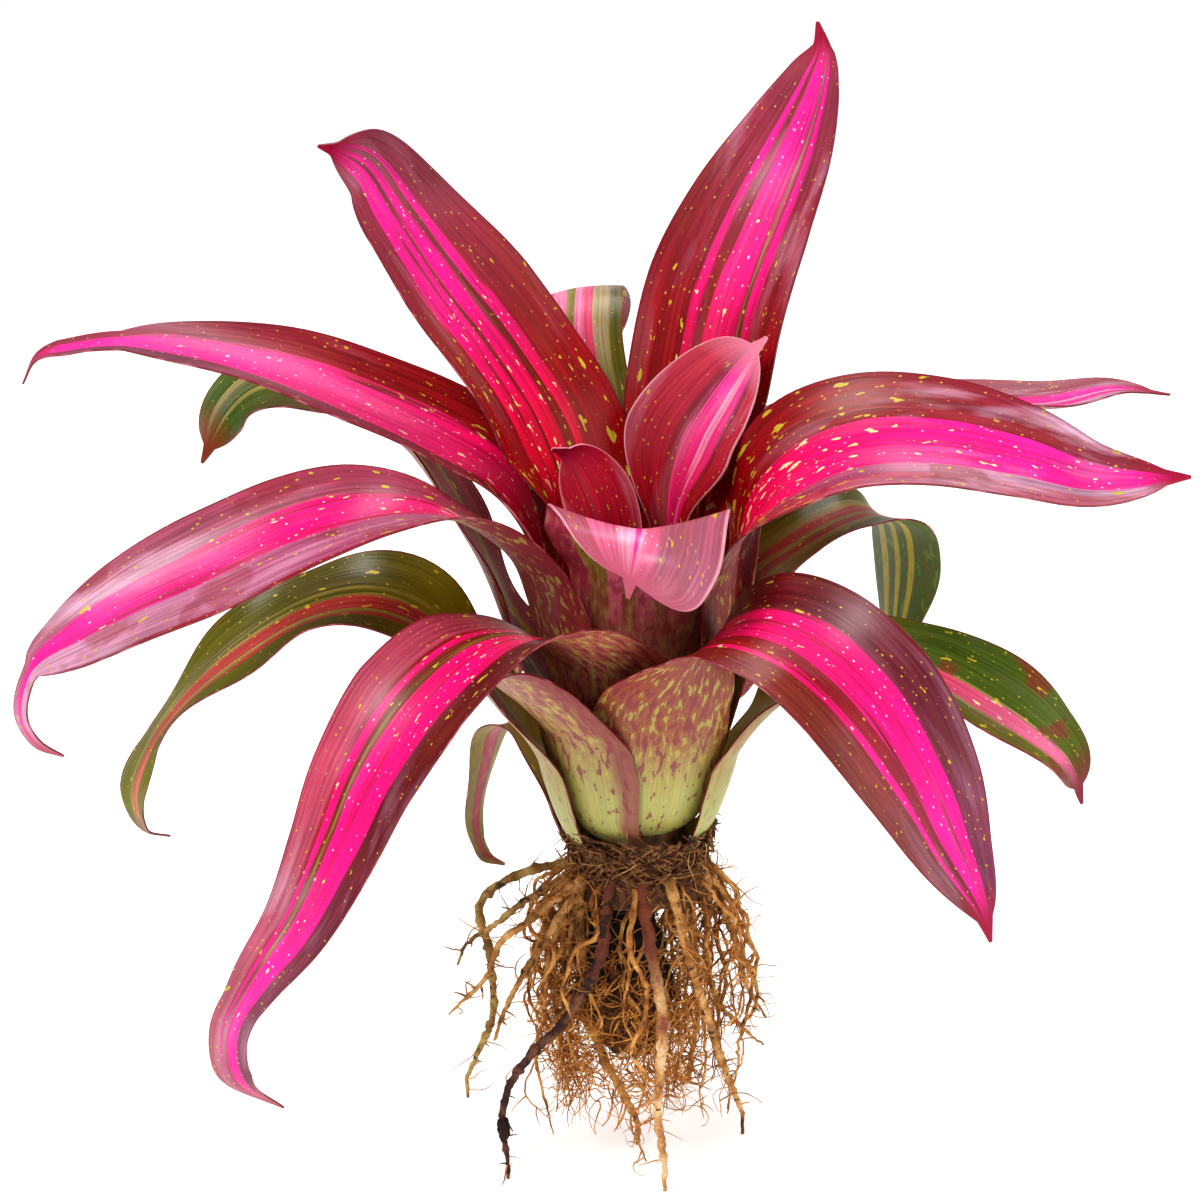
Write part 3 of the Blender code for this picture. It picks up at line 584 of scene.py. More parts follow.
SHEATHS = {
    "leaf_01_back_left_hanging": SheathSkin(
        stops=bands("28 straw, 40 salmon, 60 veil, 70 salmon, 100 straw"),
        pale_to=15.0, mottled_from=30.0, marked=0.2),
    "leaf_03_left_curled": SheathSkin(
        stops=bands("40 olive, 60 straw, 100 olive"),
        middle="#a88a4a", marked=0.4),
    "leaf_04_right_hanging": SheathSkin(
        stops=bands("40 olive, 60 straw, 100 olive"),
        middle="#a88a4a", marked=0.4),
    "leaf_06_front_left_low": SheathSkin(edge_line=0.16, middle="#b08a58", blade="#a05a3c"),
    "leaf_07_front_right": SheathSkin(middle="#a4603a", blade="#963c28"),
    "leaf_08_right_arching": SheathSkin(
        stops=bands("20 green, 32 yolk, 44 green, 52 yolk, 64 green, 72 yolk, 100 green"),
        marked=0.2),
    "leaf_09_left_back": SheathSkin(
        stops=bands("30 veil, 55 straw, 70 veil, 100 maroon"),
        middle="#b24d50"),
    "leaf_11_front_left": SheathSkin(middle="#b87a5a", blade="#b4604e"),
    "leaf_19_front_lip": SheathSkin(
        stops=bands("15 veil, 27 straw, 36 pale, 44 straw, 56 pale, 64 straw, 76 pale, 84 straw, 100 veil"),
        foot="#c9a37a", middle="#b06a58", fleck="#c3a56c", mark="#8f2434", marked=0.5),
    "leaf_20_inner_right": SheathSkin(blade="#c4506a"),
    "leaf_21_inner_left": SheathSkin(foot="#7a4030", middle="#861c2c", blade="#a01830", marked=0.4),
    "leaf_22_heart": SheathSkin(foot="#5c2a20", middle="#6c141c", blade="#8a1224", marked=0.3),
}
PLAIN_SHEATH = SheathSkin()


@dataclass(frozen=True)
class Leaf:
    """One leaf: where it grows from, the way its midrib runs and the outline of its blade."""

    name: str
    order: float
    azimuth: float
    sheath: float
    facing: float
    route: tuple
    width: float = 50.0
    base: float = 44.0
    taper: float = 30.0
    fullness: float = 2.0
    widening: float = 30.0
    delay: float = 0.0
    roll: tuple = (0.0, 0.0)
    ramp: tuple = (0.0, 70.0)
    narrow: float = 0.0
    cup: float = 26.0
    wave: float = 0.0
    lobe: float = 0.0
    tail: float = 0.0
    end: float = 0.0


LEAVES = (
    Leaf("leaf_01_back_left_hanging", 0, 150, 24, 140, width=20, base=30, taper=70, fullness=1.5, cup=16,
         wave=1,
         route=((-44, 46, 160), (-56, 62, 154), (-62, 74, 132), (-66, 78, 108), (-62, 80, 92),
                (-54, 80, 88))),
    Leaf("leaf_02_back_low", 1, 70, 24, 70, width=40, base=40, taper=70, fullness=1.5, cup=20, wave=2,
         route=((24, 62, 172), (34, 92, 176), (40, 120, 160), (40, 138, 134))),
    Leaf("leaf_03_left_curled", 2, 188, 40, 183, width=40, base=46, taper=140, fullness=1.4,
         roll=(-30, -40), cup=30, wave=3, tail=30, end=10,
         route=((-68, 2, 206), (-84, 3, 222), (-103, 4, 228), (-126, 6, 223), (-152, 8, 207),
                (-174, 10, 187), (-190, 12, 164), (-197, 14, 143), (-193, 16, 128), (-184, 20, 124))),
    Leaf("leaf_04_right_hanging", 3, 350, 40, 353, width=37, base=46, taper=45, fullness=2.0, roll=(30, 40),
         cup=30, wave=3,
         route=((65, 2, 197), (88, 2, 205), (111, 0, 202), (132, -4, 192), (152, -8, 179), (165, -10, 166),
                (170, -10, 149))),
    Leaf("leaf_05_back_left_low", 4, 112, 30, 112, width=40, base=42, taper=80, fullness=1.5, cup=20,
         wave=2,
         route=((-26, 68, 178), (-40, 98, 182), (-50, 124, 168), (-54, 140, 140))),
    Leaf("leaf_06_front_left_low", 5, 226, 46, 228, width=46, base=54, taper=90, fullness=1.6, cup=24,
         wave=1,
         route=((-48, -45, 208), (-63, -60, 220), (-77, -72, 211), (-90, -80, 191), (-99, -84, 165))),
    Leaf("leaf_07_front_right", 6.3, 285, 56, 300, width=54, base=60, taper=95, fullness=1.5, roll=(29, 0),
         ramp=(0, 45), cup=24,
         route=((22, -52, 225), (38, -68, 239), (60, -84, 237), (81, -96, 221), (99, -104, 195),
                (112, -108, 168), (122, -110, 148), (126, -110, 134))),
    Leaf("leaf_08_right_arching", 7.6, 28, 44, 35, width=46, base=46, taper=90, fullness=1.6, ramp=(30, 90),
         cup=26, wave=2,
         route=((43, 40, 222), (60, 52, 232), (77, 63, 239), (91, 71, 241), (101, 79, 235), (105, 84, 219),
                (105, 88, 198), (103, 88, 177), (100, 84, 159))),
    Leaf("leaf_09_left_back", 8.6, 164, 44, 160, width=42, base=54, taper=60, fullness=1.9, roll=(25, -80),
         cup=28, wave=2,
         route=((-50, 14, 214), (-62, 20, 240), (-79, 32, 268), (-95, 44, 284), (-113, 56, 292),
                (-133, 66, 295), (-150, 71, 292), (-162, 73, 281), (-172, 70, 262))),
    Leaf("leaf_10_back_middle", 9.6, 66, 50, 66, width=46, base=46, taper=50, fullness=1.8, cup=22, wave=1,
         route=((26, 56, 236), (42, 90, 256), (56, 122, 250), (64, 146, 226))),
    Leaf("leaf_11_front_left", 10.6, 252, 60, 246, width=50, base=58, taper=185, fullness=1.05, cup=24,
         route=((-35, -56, 231), (-58, -78, 235), (-80, -94, 221), (-98, -104, 196), (-110, -110, 170),
                (-124, -110, 141), (-141, -106, 115), (-151, -100, 93), (-149, -94, 72), (-133, -86, 57))),
    Leaf("leaf_12_right_back", 11.6, 14, 64, 20, width=44, base=50, taper=80, fullness=1.8, cup=30,
         route=((51, 42, 276), (87, 62, 284), (124, 78, 283), (165, 90, 281), (191, 96, 285),
                (212, 92, 284))),
    Leaf("leaf_13_left_front", 12.6, 212, 62, 212, width=46, base=52, taper=80, fullness=1.6,
         roll=(-30, -30), ramp=(50, 140), cup=30, tail=40, end=6,
         route=((-42, -25, 246), (-56, -33, 263), (-75, -42, 275), (-98, -51, 278), (-125, -58, 273),
                (-157, -65, 260), (-187, -70, 247), (-206, -71, 236), (-220, -70, 226), (-226, -67, 213),
                (-227, -62, 201), (-222, -57, 190), (-214, -52, 184))),
    Leaf("leaf_14_right", 13.6, 345, 54, 345, width=60, base=47, taper=140, fullness=1.55, roll=(35, 45),
         cup=34, widening=70, narrow=22, delay=16,
         route=((36, -10, 244), (43, -14, 268), (58, -18, 285), (81, -22, 296), (110, -26, 298),
                (140, -28, 293), (168, -28, 285), (204, -22, 283))),
    Leaf("leaf_15_left", 14.6, 172, 54, 172, width=57, base=46, taper=125, fullness=1.6, roll=(-16, -16),
         cup=34, widening=60, delay=16, tail=30, end=13,
         route=((-38, 5, 240), (-44, 7, 260), (-55, 10, 276), (-78, 14, 289), (-106, 18, 301),
                (-136, 20, 313), (-166, 19, 321), (-194, 16, 325), (-213, 12, 324), (-226, 7, 321),
                (-231, 3, 312))),
    Leaf("leaf_16_back", 16.0, 97, 48, 97, width=38, base=36, taper=40, fullness=1.9, roll=(-8, -8),
         cup=-16, widening=60,
         route=((-6, 37, 236), (-11, 45, 260), (-20, 52, 288), (-25, 68, 313), (-25, 88, 325),
                (-24, 112, 322), (-20, 134, 306), (-18, 150, 278))),
    Leaf("leaf_17_tall_right", 17.3, 60, 54, 68, width=60, base=44, taper=105, fullness=1.5, cup=24,
         widening=85, narrow=20, delay=46,
         route=((17, 29, 246), (19, 33, 272), (24, 41, 300), (31, 48, 334), (43, 54, 364), (57, 60, 393),
                (66, 61, 416), (69, 59, 428), (67, 56, 439))),
    Leaf("leaf_18_tall_left", 18.6, 140, 50, 130, width=63, base=44, taper=90, fullness=1.5, cup=24,
         widening=70, delay=40,
         route=((-24, 19, 246), (-27, 22, 270), (-36, 27, 293), (-52, 35, 317), (-73, 42, 344),
                (-91, 46, 369), (-102, 42, 387), (-111, 34, 394), (-120, 24, 398))),
    Leaf("leaf_19_front_lip", 19.6, 273, 74, 270, width=70, base=60, taper=34, fullness=2.1, roll=(-6, -6),
         ramp=(0, 24), cup=12, lobe=26,
         route=((-1, -42, 261), (-2, -52, 272), (-3, -64, 270), (-4, -70, 263), (-5, -72, 252))),
    Leaf("leaf_20_inner_right", 20.6, 48, 34, 60, width=50, base=14, taper=50, fullness=1.9, cup=34,
         widening=75, narrow=42,
         route=((12, 18, 240), (12, 21, 265), (18, 23, 285), (27, 24, 300), (37, 23, 314), (48, 19, 326))),
    Leaf("leaf_21_inner_left", 21.6, 168, 26, 120, width=32, base=24, taper=26, fullness=1.9, cup=36,
         widening=50,
         route=((-14, 4, 226), (-14, 4, 242), (-15, 4, 258), (-20, 3, 273), (-27, 0, 285), (-33, -5, 289))),
    Leaf("leaf_22_heart", 22.6, 320, 24, 320, width=26, base=30, taper=24, fullness=1.8, cup=50,
         route=((11, -10, 230), (10, -9, 250), (13, -12, 262))),
)


class RootTint(Enum):
    """Bark of a main root, by its place in the finishes of the main roots."""

    TAN = 0
    RED = 1
    CREAM = 2
    GREEN = 3


@dataclass(frozen=True)
class Root:
    """One main root: its radius at the crown and at the end, its bark and its route."""

    start: float
    end: float
    tint: RootTint
    route: tuple
    foot: bool = False


ROOTS = (
    Root(2.8, 1.7, RootTint.RED, ((-6, -8, 104), (-12, -24, 102), (-15, -30, 93), (-21, -32, 81),
          (-30, -34, 67), (-38, -34, 59), (-50, -32, 41), (-53, -30, 21), (-51, -30, 8)), foot=True),
    Root(2.2, 1.2, RootTint.TAN, ((-8, -6, 102), (-30, -20, 97), (-42, -24, 88), (-50, -26, 74),
          (-56, -28, 58))),
    Root(2.2, 1.0, RootTint.TAN, ((-8, -6, 106), (-30, -16, 108), (-42, -17, 104), (-54, -16, 93),
          (-59, -14, 79), (-66, -12, 70), (-74, -10, 61))),
    Root(2.1, 1.0, RootTint.GREEN, ((-8, -2, 104), (-31, -4, 109), (-44, 0, 105), (-56, 2, 94),
          (-68, 4, 84), (-71, 4, 76))),
    Root(2.8, 2.0, RootTint.CREAM, ((-1, -8, 104), (1, -26, 102), (6, -35, 90), (9, -40, 72), (8, -44, 53),
          (7, -44, 36), (9, -43, 20), (10, -41, 9)), foot=True),
    Root(2.4, 1.6, RootTint.TAN, ((4, -6, 104), (12, -22, 100), (20, -24, 88), (26, -20, 67), (31, -12, 47),
          (38, 3, 22), (42, 10, 8)), foot=True),
    Root(1.7, 1.0, RootTint.TAN, ((8, -2, 103), (26, 2, 105), (36, 6, 92), (40, 8, 81), (45, 8, 70),
          (47, 6, 60), (42, 2, 51))),
    Root(2.1, 1.0, RootTint.TAN, ((6, -4, 102), (20, -4, 92), (27, 2, 75), (33, 6, 57), (42, 10, 46),
          (50, 12, 38))),
    Root(2.1, 1.7, RootTint.GREEN, ((-8, 6, 104), (-30, 16, 109), (-46, 18, 109), (-58, 20, 101),
          (-63, 22, 92), (-60, 24, 78), (-58, 26, 60), (-58, 30, 43), (-64, 38, 24), (-69, 44, 9)),
          foot=True),
    Root(2.4, 2.2, RootTint.TAN, ((-2, -2, 100), (-15, -10, 76), (-15, -8, 45), (-6, -3, 24), (0, 0, 9)),
          foot=True),
    Root(2.4, 1.7, RootTint.TAN, ((2, 6, 104), (14, 26, 96), (22, 42, 74), (25, 54, 42), (24, 60, 20),
          (22, 61, 8)), foot=True),
    Root(2.4, 1.7, RootTint.TAN, ((-2, 6, 104), (-16, 26, 98), (-27, 44, 76), (-30, 54, 44), (-28, 60, 22),
          (-28, 61, 8)), foot=True),
    Root(2.1, 1.0, RootTint.TAN, ((6, 4, 104), (26, 14, 98), (38, 24, 80), (44, 30, 56), (52, 34, 40))),
)
# Skin of the main roots: old cork, tan and dull where it is dry, red brown where it is wet, cream where
# it has peeled and greenish where light reaches it. Soil in its cracks gives each a dark, broken outline.
ROOT_BARKS = {
    RootTint.TAN: Bark("#dfae6e", "#ae7838", "#5f3a18", dirt=0.62, size=9.0),
    RootTint.RED: Bark("#8a5a3c", "#4c2018", "#1d100b", top="#7a3c28", dirt=0.53, size=10.0),
    RootTint.CREAM: Bark("#ecc898", "#cc9a60", "#94523a", top="#7e3f26", dirt=0.68, size=12.0),
    RootTint.GREEN: Bark("#cdae6c", "#9c783c", "#55381a", dirt=0.6, size=9.0),
}
# Young root skin and hair roots: paler and cleaner than the main ones, so that they stand out as threads.
SIDE_BARK = Bark("#e2ab62", "#b47430", "#643812", dirt=0.64, size=7.0)
FIBRE_BARK = Bark("#eaaa54", "#c07c30", "#763f10", dirt=0.72, size=8.0)
# Soil: root felt full of crumbs, near black from about 86 mm up towards the crown, and bare crumbs. Both are
# matt and swallow light.
FELT = Bark("#9a6226", "#58340f", "#150c06", top="#120a06", top_from=86.0, dirt=0.54, size=4.0,
            roughness=0.95, bump=0.9)
CRUMBS = Bark("#3d2716", "#22150c", "#0d0805", dirt=0.6, size=4.0, roughness=0.95, bump=0.9)
# Dead leaf bases: torn brown fibre, straw-coloured where it has come loose, on a darker husk.
TORN_BARK = Bark("#a87444", "#704422", "#38200e", dirt=0.62, size=4.0)
LOOSE_BARK = Bark("#dcb070", "#a87038", "#5a3616", dirt=0.7, size=5.0)
HUSK = Bark("#8c5c32", "#58361a", "#2a180c", dirt=0.58, size=4.0)
# Stem: brown corky skin over flesh, a little smoother than the roots.
FLESH = Bark("#8a6238", "#5c3c1c", "#2e1c0e", dirt=0.66, size=6.0, roughness=0.7)


def smooth(value: np.ndarray, start: float, end: float) -> np.ndarray:
    """Give 0 up to start, 1 from end on, and a smooth step between them."""
    part = np.clip((value - start) / (end - start), 0.0, 1.0)
    return part * part * (3.0 - 2.0 * part)


def unit(vectors: np.ndarray) -> np.ndarray:
    """Give the vectors at length 1."""
    return vectors / np.linalg.norm(vectors, axis=-1, keepdims=True)


def ring_point(radius: float, angle: float, height: float) -> np.ndarray:
    """Give the point at a radius, an angle in radians and a height."""
    return np.array((radius * math.cos(angle), radius * math.sin(angle), height))


def scattered(draw: random.Random, spread: float) -> np.ndarray:
    """Draw a vector whose three parts scatter round 0."""
    return np.array([draw.gauss(0.0, spread) for _ in range(3)])


def spline(points: list[np.ndarray], steps: int = 16) -> np.ndarray:
    """Run a centripetal Catmull-Rom curve through points.

    Args:
        points: The points.
        steps: Fine points in each span.

    Returns:
        The fine points.
    """
    ends = [2 * points[0] - points[1], *points, 2 * points[-1] - points[-2]]
    fine = []
    for p0, p1, p2, p3 in zip(ends, ends[1:], ends[2:], ends[3:]):
        t1 = np.linalg.norm(p1 - p0) ** 0.5
        t2 = t1 + np.linalg.norm(p2 - p1) ** 0.5
        t3 = t2 + np.linalg.norm(p3 - p2) ** 0.5
        for t in np.linspace(t1, t2, steps, endpoint=False):
            a1 = ((t1 - t) * p0 + t * p1) / t1
            a2 = ((t2 - t) * p1 + (t - t1) * p2) / (t2 - t1)
            a3 = ((t3 - t) * p2 + (t - t2) * p3) / (t3 - t2)
            b1 = ((t2 - t) * a1 + t * a2) / t2
            b2 = ((t3 - t) * a2 + (t - t1) * a3) / (t3 - t1)
            fine.append(((t2 - t) * b1 + (t - t1) * b2) / (t2 - t1))
    fine.append(points[-1])
    return np.array(fine)


def distances(points: np.ndarray) -> np.ndarray:
    """Give the distance of each point of a curve from its first, along the curve."""
    return np.concatenate(((0.0,), np.cumsum(np.linalg.norm(np.diff(points, axis=0), axis=1))))


def sampled(values: np.ndarray, place: np.ndarray, wanted: np.ndarray) -> np.ndarray:
    """Read rows of values, known at places along a curve, off at the places wanted."""
    return np.stack([np.interp(wanted, place, values[:, axis]) for axis in range(3)], axis=1)


def even(points: np.ndarray, step: float) -> tuple[np.ndarray, float]:
    """Space the points of a curve evenly.

    Args:
        points: The curve.
        step: Distance wanted between two points, which the even one comes close to.

    Returns:
        The even points, and the length of the curve.
    """
    along = distances(points)
    wanted = np.linspace(0.0, along[-1], int(along[-1] / step) + 2)
    return sampled(points, along, wanted), along[-1]


def deselect() -> None:
    """Deselect every object, so that an operator acts on the new one alone."""
    bpy.ops.object.select_all(action="DESELECT")


def take(piece: bpy.types.Object) -> None:
    """Make a piece the only one selected, and the active one.

    Args:
        piece: The piece.
    """
    deselect()
    piece.select_set(True)
    bpy.context.view_layer.objects.active = piece


def named(name: str) -> bpy.types.Object:
    """Name the object that an operator has just added, and its data.

    Args:
        name: Its name.

    Returns:
        The object.
    """
    piece = bpy.context.object
    piece.name = piece.data.name = name
    return piece


def apply_modifiers(piece: bpy.types.Object) -> None:
    """Apply every modifier of a piece to its mesh.

    Args:
        piece: The piece.
    """
    take(piece)
    for modifier in list(piece.modifiers):
        bpy.ops.object.modifier_apply(modifier=modifier.name)


def hand_in(piece: bpy.types.Object, node: str = "") -> None:
    """Hand a piece to the frame and log it.

    Args:
        piece: The piece.
        node: Name of the solid that it stands for, where it stands for one.
    """
    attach(piece, "root")
    if node:
        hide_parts(node)
    log.info("%s: %d faces", piece.name, len(piece.data.polygons))


@dataclass
class Rosette:
    """The leaves: a sheath that wraps the stem, which opens to a long strap blade."""

    rows: int = 96
    columns: int = 25
    thickness: float = 0.7
    lowest: float = 122.0
    step: float = 2.75
    clearance: float = 1.0
    bulb: float = 4.0
    spread: float = 0.9
    power: float = 0.757
    opening: float = 26.0
    stem_bottom: float = 114.0
    stem_top: float = 188.0
    stem_bottom_radius: float = 23.0
    stem_top_radius: float = 7.0
    wave_length: float = 70.0
    crinkle: float = 0.35
    crinkle_pitch: float = 11.0
    sharp_from: float = 50.0

    def stem_radius(self, height: float) -> float:
        """Give the radius of the stem at a height."""
        along = (height - self.stem_bottom) / (self.stem_top - self.stem_bottom)
        return self.stem_bottom_radius + (self.stem_top_radius - self.stem_bottom_radius) * along

    def sheath_point(self, leaf: Leaf, rise: float) -> np.ndarray:
        """Place a point of the midrib on the funnel of sheaths.

        Args:
            leaf: The leaf.
            rise: Height above the place it grows from.

        Returns:
            The point.
        """
        root = self.lowest + self.step * leaf.order
        bulb = self.bulb * (1.0 - math.exp(-rise / 5.0))
        radius = self.stem_radius(root) + self.clearance + bulb + self.spread * rise ** self.power
        return ring_point(radius, math.radians(leaf.azimuth), root + rise)

    def midrib(self, leaf: Leaf) -> tuple[np.ndarray, float, float]:
        """Run the midrib from the stem to the tip.

        Args:
            leaf: The leaf.

        Returns:
            Even points, the length, and the distance at which the sheath ends.
        """
        spans = round((leaf.sheath - 7.0) / 8.0)
        rises = (0.0, 2.5, *np.linspace(7.0, leaf.sheath, spans + 1))
        points = [self.sheath_point(leaf, rise) for rise in rises]
        throat = distances(np.array(points))[-1]
        points += [np.array(point, dtype=float) for point in leaf.route]
        return *even(spline(points), 2.0), throat

    def half_width(self, leaf: Leaf, along: np.ndarray, length: float, throat: float) -> np.ndarray:
        """Give half the width of a leaf along its midrib.

        Args:
            leaf: The leaf.
            along: Distances along the midrib.
            length: Length of the midrib.
            throat: Distance at which the sheath ends.

        Returns:
            Half the width at each distance.
        """
        widened = smooth(along, 0.8 * throat + leaf.narrow, throat + leaf.widening)
        half = leaf.base + (leaf.width - leaf.base) * widened
        half = half * (0.7 + 0.3 * smooth(along, 0.0, 40.0))
        shoulder = length - 7.0 - leaf.tail - leaf.taper
        part = np.clip((along - shoulder) / leaf.taper, 0.0, 1.0)
        half = 0.5 * half * (1.0 - part ** leaf.fullness) ** (1.0 / leaf.fullness)
        point = 0.6 + 0.28 * (length - along)
        return np.maximum(half, np.minimum(point, 0.5 * leaf.end if leaf.end else 0.16 * leaf.width))

    def sheet(self, leaf: Leaf) -> tuple[np.ndarray, np.ndarray, np.ndarray, float, float]:
        """Shape the middle surface of a leaf.

        Args:
            leaf: The leaf.

        Returns:
            Points by row and column, distances of the rows, half widths, opening and length.
        """
        rib, length, throat = self.midrib(leaf)
        tangents = unit(np.gradient(rib, axis=0))
        along = length * (1.0 - (1.0 - np.linspace(0.0, 1.0, self.rows)) ** 1.15)
        place = np.linspace(0.0, length, len(rib))
        centre = sampled(rib, place, along)
        tangent = unit(sampled(tangents, place, along))
        opening = throat + leaf.delay
        open_part = smooth(along, opening, opening + self.opening)[:, None]
        side = math.radians(leaf.azimuth)
        outward = np.array((math.cos(side), math.sin(side), 0.0))
        sheath_across = np.array((-math.sin(side), math.cos(side), 0.0))
        facing = math.radians(leaf.facing)
        level = np.array((-math.sin(facing), math.cos(facing), 0.0))
        level = unit(level - (tangent @ level)[:, None] * tangent)
        normal = np.cross(tangent, level)
        turned = smooth(along, opening + leaf.ramp[0], opening + leaf.ramp[1])
        turn = np.radians(leaf.roll[0] + (leaf.roll[1] - leaf.roll[0]) * (along / length) ** 3)
        turn = (turned * turn)[:, None]
        across = np.cos(turn) * level + np.sin(turn) * normal
        normal = np.cross(tangent, across)
        across = unit(sheath_across * (1.0 - open_part) + across * open_part)
        normal = -outward * (1.0 - open_part) + normal * open_part
        normal = unit(normal - (normal * across).sum(axis=1)[:, None] * across)
        half = self.half_width(leaf, along, length, throat)[:, None]
        radius = np.hypot(centre[:, 0], centre[:, 1])[:, None]
        bend = (1.0 - open_part) / radius + open_part * math.radians(leaf.cup) / (0.5 * leaf.width)
        bend = np.where(np.abs(bend) < 1e-4, 1e-4, bend)
        share = np.linspace(-1.0, 1.0, self.columns)[None, :]
        angle = share * half * bend
        rise = (1.0 - np.cos(angle)) / bend
        ripple = np.sin(2.0 * math.pi * along / self.wave_length)[:, None] * np.sign(share)
        fade = open_part * np.clip((length - along) / 30.0, 0.0, 1.0)[:, None]
        rise = rise + leaf.wave * fade * ripple * share ** 2
        uneven = np.sin(along / self.crinkle_pitch + 5.0 * leaf.order + 2.0 * share.T).T
        rise = rise + self.crinkle * fade * uneven * np.abs(share)
        ahead = leaf.lobe * smooth(along, opening + 10.0, opening + 32.0)[:, None]
        ahead = ahead * half / (0.5 * leaf.width) * np.maximum(share, 0.35 * share)
        points = centre[:, None] + (np.sin(angle) / bend)[..., None] * across[:, None]
        points = points + rise[..., None] * normal[:, None] + ahead[..., None] * tangent[:, None]
        return points, along, half[:, 0], opening, length

    def build_leaf(self, leaf: Leaf) -> bpy.types.Object:
        """Model one leaf as a thickened grid with its two maps, and dress it.

        Args:
            leaf: The leaf.

        Returns:
            The finished piece.
        """
        points, along, half, opening, length = self.sheet(leaf)
        deselect()
        bpy.ops.mesh.primitive_grid_add(x_subdivisions=self.columns - 1, y_subdivisions=self.rows - 1,
                                        size=1.0)
        piece = named(leaf.name + "_blade")
        mesh = piece.data
        flat = np.empty(3 * len(mesh.vertices))
        mesh.vertices.foreach_get("co", flat)
        flat = flat.reshape(-1, 3)
        row = np.rint((flat[:, 1] + 0.5) * (self.rows - 1)).astype(int)
        column = self.columns - 1 - np.rint((flat[:, 0] + 0.5) * (self.columns - 1)).astype(int)
        mesh.vertices.foreach_set("co", (points[row, column] * MM).ravel())
        share = 2.0 * column / (self.columns - 1) - 1.0
        mirrored = math.cos(math.radians(leaf.facing - 45.0)) > 0.0
        seen = 0.5 * (1.0 - share) if mirrored else 0.5 * (1.0 + share)
        maps = {"blade": np.stack((seen, along[row] / length), axis=1),
                "grain": np.stack((share * half[row], along[row]), axis=1) * MM}
        corner = np.empty(len(mesh.loops), dtype=int)
        mesh.loops.foreach_get("vertex_index", corner)
        while mesh.uv_layers:
            mesh.uv_layers.remove(mesh.uv_layers[0])
        for name, values in maps.items():
            mesh.uv_layers.new(name=name).data.foreach_set("uv", values[corner].ravel())
        self.dress(piece, leaf, opening, length)
        shell = piece.modifiers.new("thickness", "SOLIDIFY")
        shell.thickness = self.thickness * MM
        shell.offset = 0.0
        shell.material_offset = Face.UNDER.value
        shell.material_offset_rim = Face.RIM.value
        apply_modifiers(piece)
        bpy.ops.object.shade_smooth_by_angle(angle=math.radians(self.sharp_from))
        return piece

    def dress(self, piece: bpy.types.Object, leaf: Leaf, opening: float, length: float) -> None:
        """Give a leaf its upper, under and edge skins.

        Args:
            piece: The leaf's mesh.
            leaf: The leaf.
            opening: Distance at which the sheath ends, in mm.
            length: Length of the leaf in mm.
        """
        upper = SKINS[leaf.name]
        skins = {
            Face.UPPER: upper.build(leaf.name + "_upper_cuticle", opening, length),
            Face.UNDER: SHEATHS.get(leaf.name, PLAIN_SHEATH).build(leaf.name + "_outer_cuticle", length),
            Face.RIM: EdgeSkin(upper.edge).build(leaf.name + "_horny_edge"),
        }
        for face in Face:
            piece.data.materials.append(skins[face])

    def build(self) -> None:
        """Build every leaf and hand it to the frame."""
        for leaf in LEAVES:
            hand_in(self.build_leaf(leaf), leaf.name)


@dataclass
class Strand:
    """A thin round strand: its points in mm, its radius at each, and its place in a list of finishes."""

    points: np.ndarray
    radii: np.ndarray
    finish: int = 0


def tapering(points: np.ndarray, thick: float, tip: float, finish: int = 0) -> Strand:
    """Make a strand that thins evenly from a radius to a share of it at the tip."""
    return Strand(points, np.linspace(thick, tip * thick, len(points)), finish)


def strand_piece(name: str, strands: list[Strand], sides: int,
                 finishes: list[bpy.types.Material]) -> bpy.types.Object:
    """Model strands as one bevelled curve, and turn it to a mesh.

    Args:
        name: Name of the piece.
        strands: The strands.
        sides: Bevel resolution of the curve.
        finishes: Materials of the piece, which each strand's finish counts in.

    Returns:
        The piece.
    """
    deselect()
    bpy.ops.curve.primitive_bezier_curve_add(location=(0.0, 0.0, 0.0))
    piece = named(name)
    curve = piece.data
    curve.splines.clear()
    curve.dimensions = "3D"
    curve.bevel_depth = MM
    curve.bevel_resolution = sides
    curve.use_fill_caps = True
    for finish in finishes:
        curve.materials.append(finish)
    for strand in strands:
        line = curve.splines.new("POLY")
        line.points.add(len(strand.points) - 1)
        places = np.concatenate((strand.points * MM, np.ones((len(strand.points), 1))), axis=1)
        line.points.foreach_set("co", places.ravel())
        line.points.foreach_set("radius", strand.radii)
        line.material_index = strand.finish
    take(piece)
    bpy.ops.object.convert(target="MESH")
    piece = bpy.context.object
    bpy.ops.object.shade_smooth()
    return piece


def curl(draw: random.Random, start: np.ndarray, length: float, course: np.ndarray,
         bend: float) -> np.ndarray:
    """Let a fibre wander off from a place.

    Args:
        draw: Source of random numbers.
        start: Where it begins.
        length: Its length in mm.
        course: The way it sets off.
        bend: How strongly it turns at each step.

    Returns:
        Its points.
    """
    points = [start]
    steps = max(5, int(length / 2.2))
    turn = scattered(draw, bend)
    for _ in range(steps):
        drift = np.array([draw.gauss(mean, bend) for mean in (0.0, 0.0, -0.02)])
        turn = 0.8 * turn + drift
        course = unit(course + 0.5 * turn)
        step = points[-1] + course * length / steps
        step[2] = max(step[2], 1.2)
        points.append(step)
    return np.array(points)


